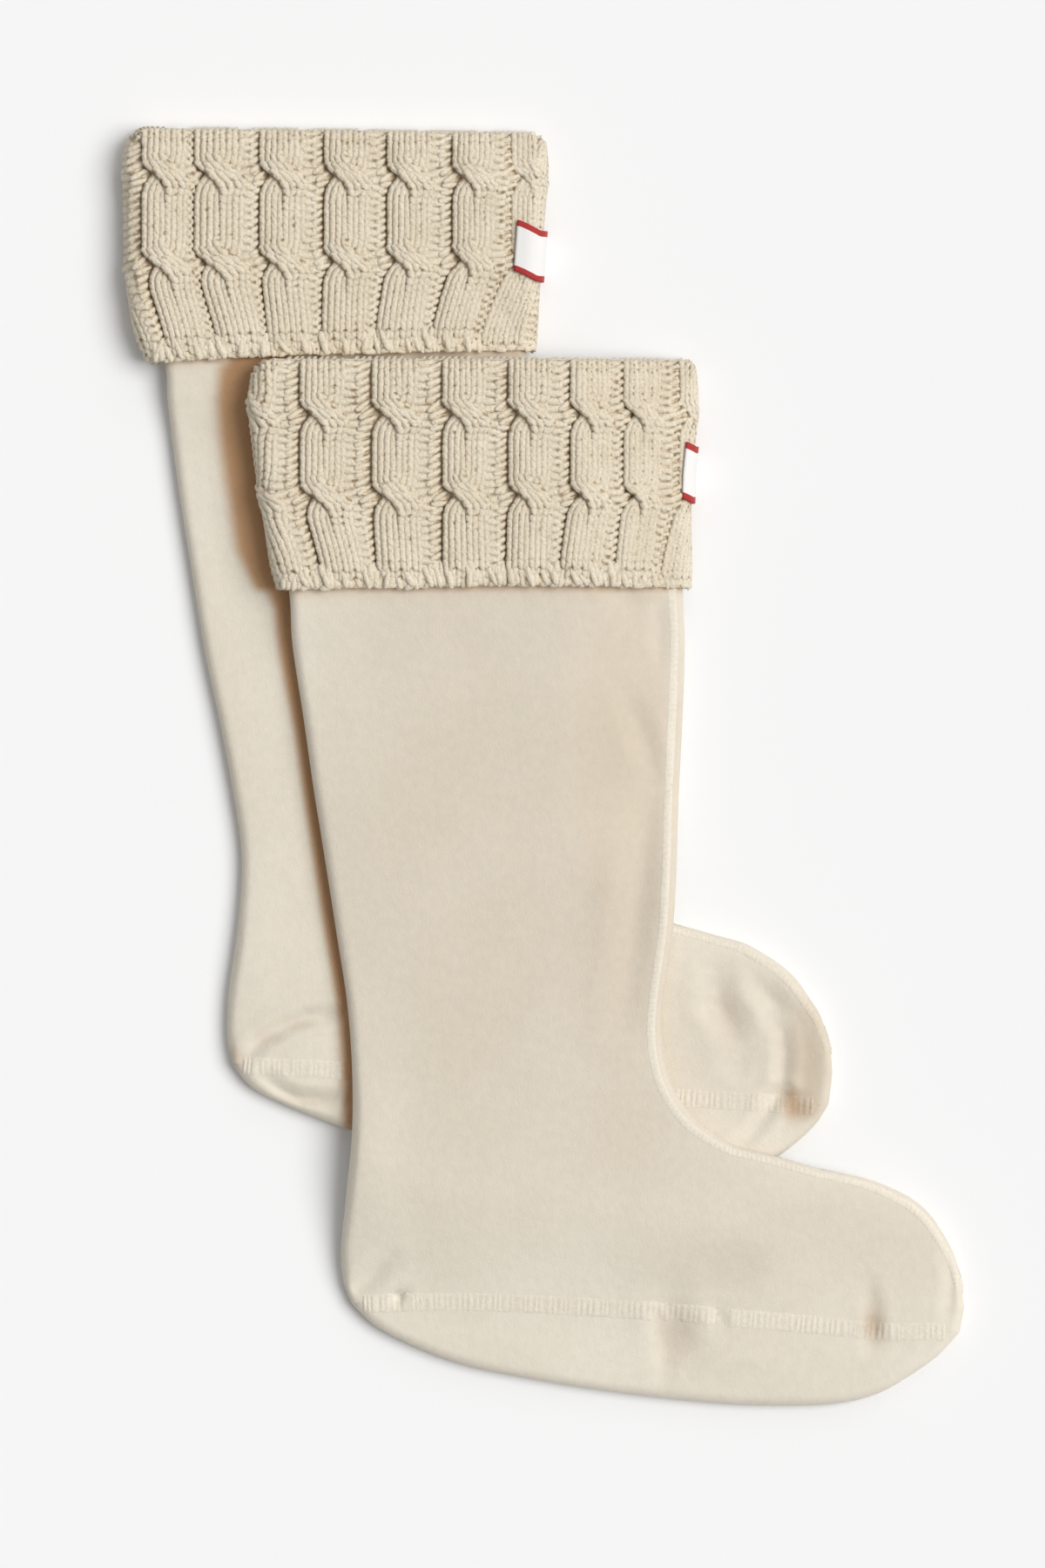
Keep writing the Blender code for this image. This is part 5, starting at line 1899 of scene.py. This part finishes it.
    def purl_column(self, number: int, column: PurlColumn) -> StitchSet:
        """One column of purl bars in the gap after a cable."""
        layout = self.layout
        travel = self.rows + column.first_row * self.row
        right = layout.span(number, travel)[1]
        gap = layout.span(number + 1, travel)[0] - right
        place = right + gap * column.share
        full = layout.fullness(travel, place) * layout.fade(travel)
        flat = layout.flat_lift(travel, place) - self.purl_below
        lift = flat + (column.height - flat) * full
        slope = self.purl_slope * np.gradient(place, travel)
        centre, along, normal, _ = self.frame(travel, place, lift, slope)
        turn = (math.radians(column.tilt) + self.uneven(self.uneven_purl_turn))[:, None]
        bar = -np.cross(along, normal) * np.cos(turn) - along * np.sin(turn)
        dive = np.tan(math.radians(column.dip)) * full[:, None]
        bar, normal = unit(bar - normal * dive), unit(normal + bar * dive)
        width = column.half_width * self.hem(travel)
        length = column.reach * gap * (1.0 + self.uneven(self.uneven_purl_length))
        return StitchSet(centre, bar, normal, np.stack([width, length, 0.5 + 0.42 * full], axis=1))

    def build(self, finishes: Finishes) -> list[bpy.types.Object]:
        """Make the stitches and purl bars of the near layer and of the far one, and dress them."""
        known = len(self.surface.plan.cables)
        name = self.surface.plan.name
        pieces = []
        layers = (("", range(known), True), ("_under", range(known, self.layout.count), False))
        for layer, numbers, near in layers:
            columns = [self.knit_column(number, leg) for number in numbers for leg in range(self.legs)]
            bars = [self.purl_column(number, column) for number in numbers for column in self.purls]
            bead = Bead(6, 6, 0.3, self.leg_pit) if near else Bead(5, 4, 0.3)
            bar = Bead(6, 6, 0.5, self.bar_pit) if near else Bead(5, 4, 0.4)
            pieces.append(StitchSet.join(columns).build(f"{name}_cuff{layer}_cables", bead))
            pieces.append(StitchSet.join(bars).build(f"{name}_cuff{layer}_purls", bar))
        for obj in pieces:
            dress(obj, finishes.knit)
        return pieces


@dataclass(frozen=True)
class BorderStrand:
    """One strand of a border rib: its place, lean in degrees and size."""

    above_edge: float
    beside: float
    lift: float
    lean: float
    half_width: float
    half_length: float
    half_thickness: float


@dataclass
class CastOffBorder:
    """The border: soft uneven ribs that end in the cast-off edge.

    Every second rib stands higher.  What is uneven is the spread of random draws; the strands' sizes are
    between two shares of their own.
    """

    layout: CableLayout
    pitch: float = 4.15
    seed: int = 5
    uneven_pitch: float = 0.16
    ruffle: float = 0.35
    uneven_ruffle: float = 0.22
    sway: float = -3.0
    uneven_sway: float = 9.0
    uneven_down: float = 0.3
    uneven_beside: float = 0.18
    uneven_lean: float = 5.0
    widths: tuple[float, float] = (0.8, 1.2)
    lengths: tuple[float, float] = (0.85, 1.15)
    far_lift: float = -1.45
    far_thickness: float = 0.75
    strands: tuple[BorderStrand, ...] = (
        BorderStrand(7.0, -1.0, 1.3, -10.0, 1.35, 3.2, 0.85),
        BorderStrand(6.8, 1.1, 1.25, 12.0, 1.35, 3.2, 0.85),
        BorderStrand(4.0, 0.0, 1.1, -8.0, 1.4, 4.4, 1.15),
        BorderStrand(3.8, 2.05, 0.45, -5.0, 1.5, 4.0, 1.0),
        BorderStrand(1.1, 1.0, 0.05, 80.0, 1.3, 2.9, 1.1),
    )

    def build(self, finishes: Finishes) -> bpy.types.Object:
        """Make the ribs round the whole edge, uneven in lean and height, and dress them."""
        surface = self.layout.surface
        random = np.random.default_rng(self.seed)
        height = surface.plan.cuff_height
        start = surface.plan.cables[0][2]
        girth = float(surface.girth(np.array([height]))[0])
        count = int(round(girth / self.pitch))
        uneven = random.uniform(-self.uneven_pitch, self.uneven_pitch, count)
        place = start + girth * (np.arange(count) + uneven) / count
        ruffle = self.ruffle * (-1.0) ** np.arange(count) + random.normal(0.0, self.uneven_ruffle, count)
        sway = random.normal(self.sway, self.uneven_sway, count)
        parts = []
        for strand in self.strands:
            travel = height - strand.above_edge + random.normal(0.0, self.uneven_down, count)
            beside = place + strand.beside + random.normal(0.0, self.uneven_beside, count)
            full = self.layout.fullness(travel, beside)
            lift = (strand.lift + ruffle) * full + (1.0 - full) * self.far_lift
            centre = surface.place(travel, beside, lift)
            along = surface.place(travel + STEP, beside, lift) - centre
            normal = unit(surface.place(travel, beside, lift + STEP) - centre)
            lean = np.radians(strand.lean + sway + random.normal(0.0, self.uneven_lean, count))
            size = np.stack([
                strand.half_width * random.uniform(*self.widths, count),
                strand.half_length * random.uniform(*self.lengths, count),
                strand.half_thickness * (self.far_thickness + (1.0 - self.far_thickness) * full),
            ], axis=1)
            parts.append(StitchSet(centre, turned(along, normal, lean), normal, size))
        obj = StitchSet.join(parts).build(f"{surface.plan.name}_cuff_border", Bead(8, 6, 0.25))
        dress(obj, finishes.knit)
        return obj


@dataclass
class TapeLabel:
    """The woven label wrapped round the cuff's shin edge.

    It falls towards its end: by a share over the first stretch on the near layer, and in full by an angle
    round the edge.
    """

    surface: CuffSurface
    gap: float = 0.45
    thickness: float = 0.7
    under_reach: float = 4.0
    first_fall: float = 0.35
    first_stretch: float = 5.0
    full_fall: float = math.radians(60.0)
    rows: int = 22
    columns: int = 30
    flat: tuple[float, float] = (0.038, 0.022)

    def build(self, finishes: Finishes) -> bpy.types.Object:
        """Make the label as one bent sheet with a wall, and dress it."""
        label = self.surface.plan.label
        down = np.linspace(label.upper, label.lower, self.rows)
        _, end, shin = self.surface.edges(down)
        on_flat = label.reach > CUFF_HALF
        first = shin - label.reach if on_flat else end + CUFF_HALF * np.arcsin(1.0 - label.reach / CUFF_HALF)
        last = end + np.pi * CUFF_HALF + self.under_reach
        places = first[:, None] + (last - first)[:, None] * np.linspace(0.0, 1.0, self.columns)
        started = smoothstep((places - first[:, None]) / self.first_stretch)
        started = started * (self.first_fall if on_flat else 0.0)
        round_edge = np.clip((places - end[:, None]) / CUFF_HALF, 0.0, np.pi)
        travel = down[:, None] + label.fall * np.minimum(started + round_edge / self.full_fall, 1.0)
        lift = np.full(travel.size, self.gap + self.thickness)
        points = self.surface.place(travel.ravel(), places.ravel(), lift)
        name = self.surface.plan.name
        obj = Modeller.sheet(f"{name}_label_tape", points.reshape(self.rows, self.columns, 3))
        if not self.faces_out(obj):
            Modeller.flip(obj)
        Modeller.thicken(obj, self.thickness)
        Modeller.smooth(obj)
        dress(obj, finishes.tape, f"{name}_label")
        return obj

    @staticmethod
    def faces_out(obj: bpy.types.Object) -> bool:
        """Whether the label's faces point away from the cuff: those at the shin edge face +X."""
        return sum(face.normal.x * face.area for face in obj.data.polygons) > 0.0


# -------- socks and studio


@dataclass
class Sock:
    """One sock, from its fleece to its label.

    The shin seam starts just under the cuff, and lies in from the outline by insets at sections of the foot.
    """

    form: SockForm
    finishes: Finishes
    rests_on: tuple[str, ...] = ()
    over: SockForm | None = None
    under_cuff: float = 6.0
    shin_inset: float = 4.4
    # the foot's section and the inset there, which then eases to the toe's
    foot_insets: tuple[tuple[int, float], ...] = ((0, 4.4), (20, 3.2))
    toe_inset: float = 3.0

    def shin_seam_line(self) -> Array:
        """The plan line of the seam down the shin, over the instep and round the toe."""
        leg, foot = self.form.leg, self.form.foot
        line = unit(leg[:, 0:2] - leg[:, 2:4]) * self.shin_inset + leg[:, 2:4]
        shown = line[line[:, 1] < self.form.cuff_low + self.under_cuff]
        last = len(foot) - 1
        inset = read_table((*self.foot_insets, (last, self.toe_inset)), np.arange(len(foot)))
        foot_in = foot[:, 4:6] + unit(foot[:, 2:4] - foot[:, 4:6]) * inset[:, None]
        return np.vstack([shown, foot_in[1:-6]])

    def seams(self, tone: FleeceTone) -> tuple[bpy.types.Object, bpy.types.Object]:
        """Make and dress the sole's seam and the shin's."""
        name = self.form.plan.name
        sole = SeamBand(self.form, tone, f"{name}_sole_seam", self.form.foot[1:-2, 2:4],
                        half_width=4.1, rise=0.36, pitch=2.4, trims=(0.6, 3.2), gathered=0.8)
        shin = SeamBand(self.form, tone, f"{name}_shin_seam", self.shin_seam_line(),
                        half_width=1.9, rise=0.24, pitch=2.0, slant=0.3)
        return sole.build(self.finishes), shin.build(self.finishes)

    def build(self) -> None:
        tone = FleeceTone(self.form, self.over)
        upper, strip = FleeceUpper(self.form, tone), FleeceSole(self.form, tone)
        leg, sole = upper.build(self.finishes), strip.build(self.finishes)
        sole_seam, shin_seam = self.seams(tone)
        surface = CuffSurface(self.form)
        layout = CableLayout(surface)
        knit, tape = CuffGround(layout), TapeLabel(surface)
        ground = knit.build(self.finishes)
        stitches = CuffStitches(layout).build(self.finishes)
        border = CastOffBorder(layout).build(self.finishes)
        label = tape.build(self.finishes)


@dataclass(frozen=True)
class Lamp:
    """A distant soft light: its strength, width, height and direction in degrees."""

    name: str
    strength: float
    width: float
    elevation: float
    azimuth: float

    def build(self) -> None:
        """Add the light."""
        data = bpy.data.lights.new(self.name, "SUN")
        data.energy = self.strength
        data.angle = math.radians(self.width)
        lamp = bpy.data.objects.new(self.name, data)
        elevation, azimuth = math.radians(self.elevation), math.radians(self.azimuth)
        level = math.cos(elevation)
        towards = Vector((level * math.cos(azimuth), level * math.sin(azimuth), math.sin(elevation)))
        lamp.rotation_mode = "QUATERNION"
        lamp.rotation_quaternion = towards.to_track_quat("Z", "Y")
        bpy.context.scene.collection.objects.link(lamp)


@dataclass
class Studio:
    """The plain floor, the soft light and the camera straight above, in metres.

    The shown height is that of the frame at the level of focus, the middle of the socks as they lie.
    """

    centre: tuple[float, float] = (-0.00915, -0.0072)
    shown_height: float = 0.6336
    distance: float = 5.0
    focus: float = 0.008
    sensor_width: float = 36.0
    clip_end: float = 100.0
    floor_size: float = 16.0
    floor_gap: float = 0.0003
    ambient: float = 0.32
    lamps: tuple[Lamp, ...] = (
        Lamp("key", 2.38, 40.0, 55.0, 8.0),
        Lamp("upper_fill", 0.42, 50.0, 36.0, 75.0),
    )

    def floor(self, finishes: Finishes) -> None:
        """Lay the floor a hair below the socks."""
        Modeller.deselect()
        bpy.ops.mesh.primitive_plane_add(size=self.floor_size, location=(0.0, 0.0, -self.floor_gap))
        obj = bpy.context.object
        obj.name = "studio_floor"
        obj.data.materials.append(finishes.floor)

    def lights(self) -> None:
        """A soft key from the toes' side, and even light all round."""
        for lamp in self.lamps:
            lamp.build()
        world = bpy.data.worlds.new("studio")
        world.use_nodes = True
        background = world.node_tree.nodes["Background"]
        background.inputs["Color"].default_value = (*WHITE, 1.0)
        background.inputs["Strength"].default_value = self.ambient
        bpy.context.scene.world = world

    def camera(self) -> None:
        """A long lens straight above, which shows the photo's frame."""
        data = bpy.data.cameras.new("camera")
        data.sensor_width = self.sensor_width
        data.lens = self.sensor_width * self.distance / self.shown_height
        data.clip_end = self.clip_end
        obj = bpy.data.objects.new("camera", data)
        obj.location = (*self.centre, self.distance + self.focus)
        bpy.context.scene.collection.objects.link(obj)
        bpy.context.scene.camera = obj

    def build(self, finishes: Finishes) -> None:
        """Set up the floor, lights, camera and plain colour view."""
        self.floor(finishes)
        self.lights()
        self.camera()
        bpy.context.scene.view_settings.view_transform = "Standard"


def main() -> None:
    """Load the frame, build both socks in it and set the scene."""
    logging.basicConfig(level=logging.INFO, format="%(name)s %(message)s")
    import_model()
    finishes = Finishes()
    rear = SockForm(REAR)
    front = SockForm(FRONT, beneath=rear)
    Studio().build(finishes)
    Sock(rear, finishes, ("studio_floor",), front).build()
    Sock(front, finishes, ("rear_leg_cloth", "studio_floor")).build()
    LOG.info("both socks are in place")


if __name__ == "__main__":
    main()
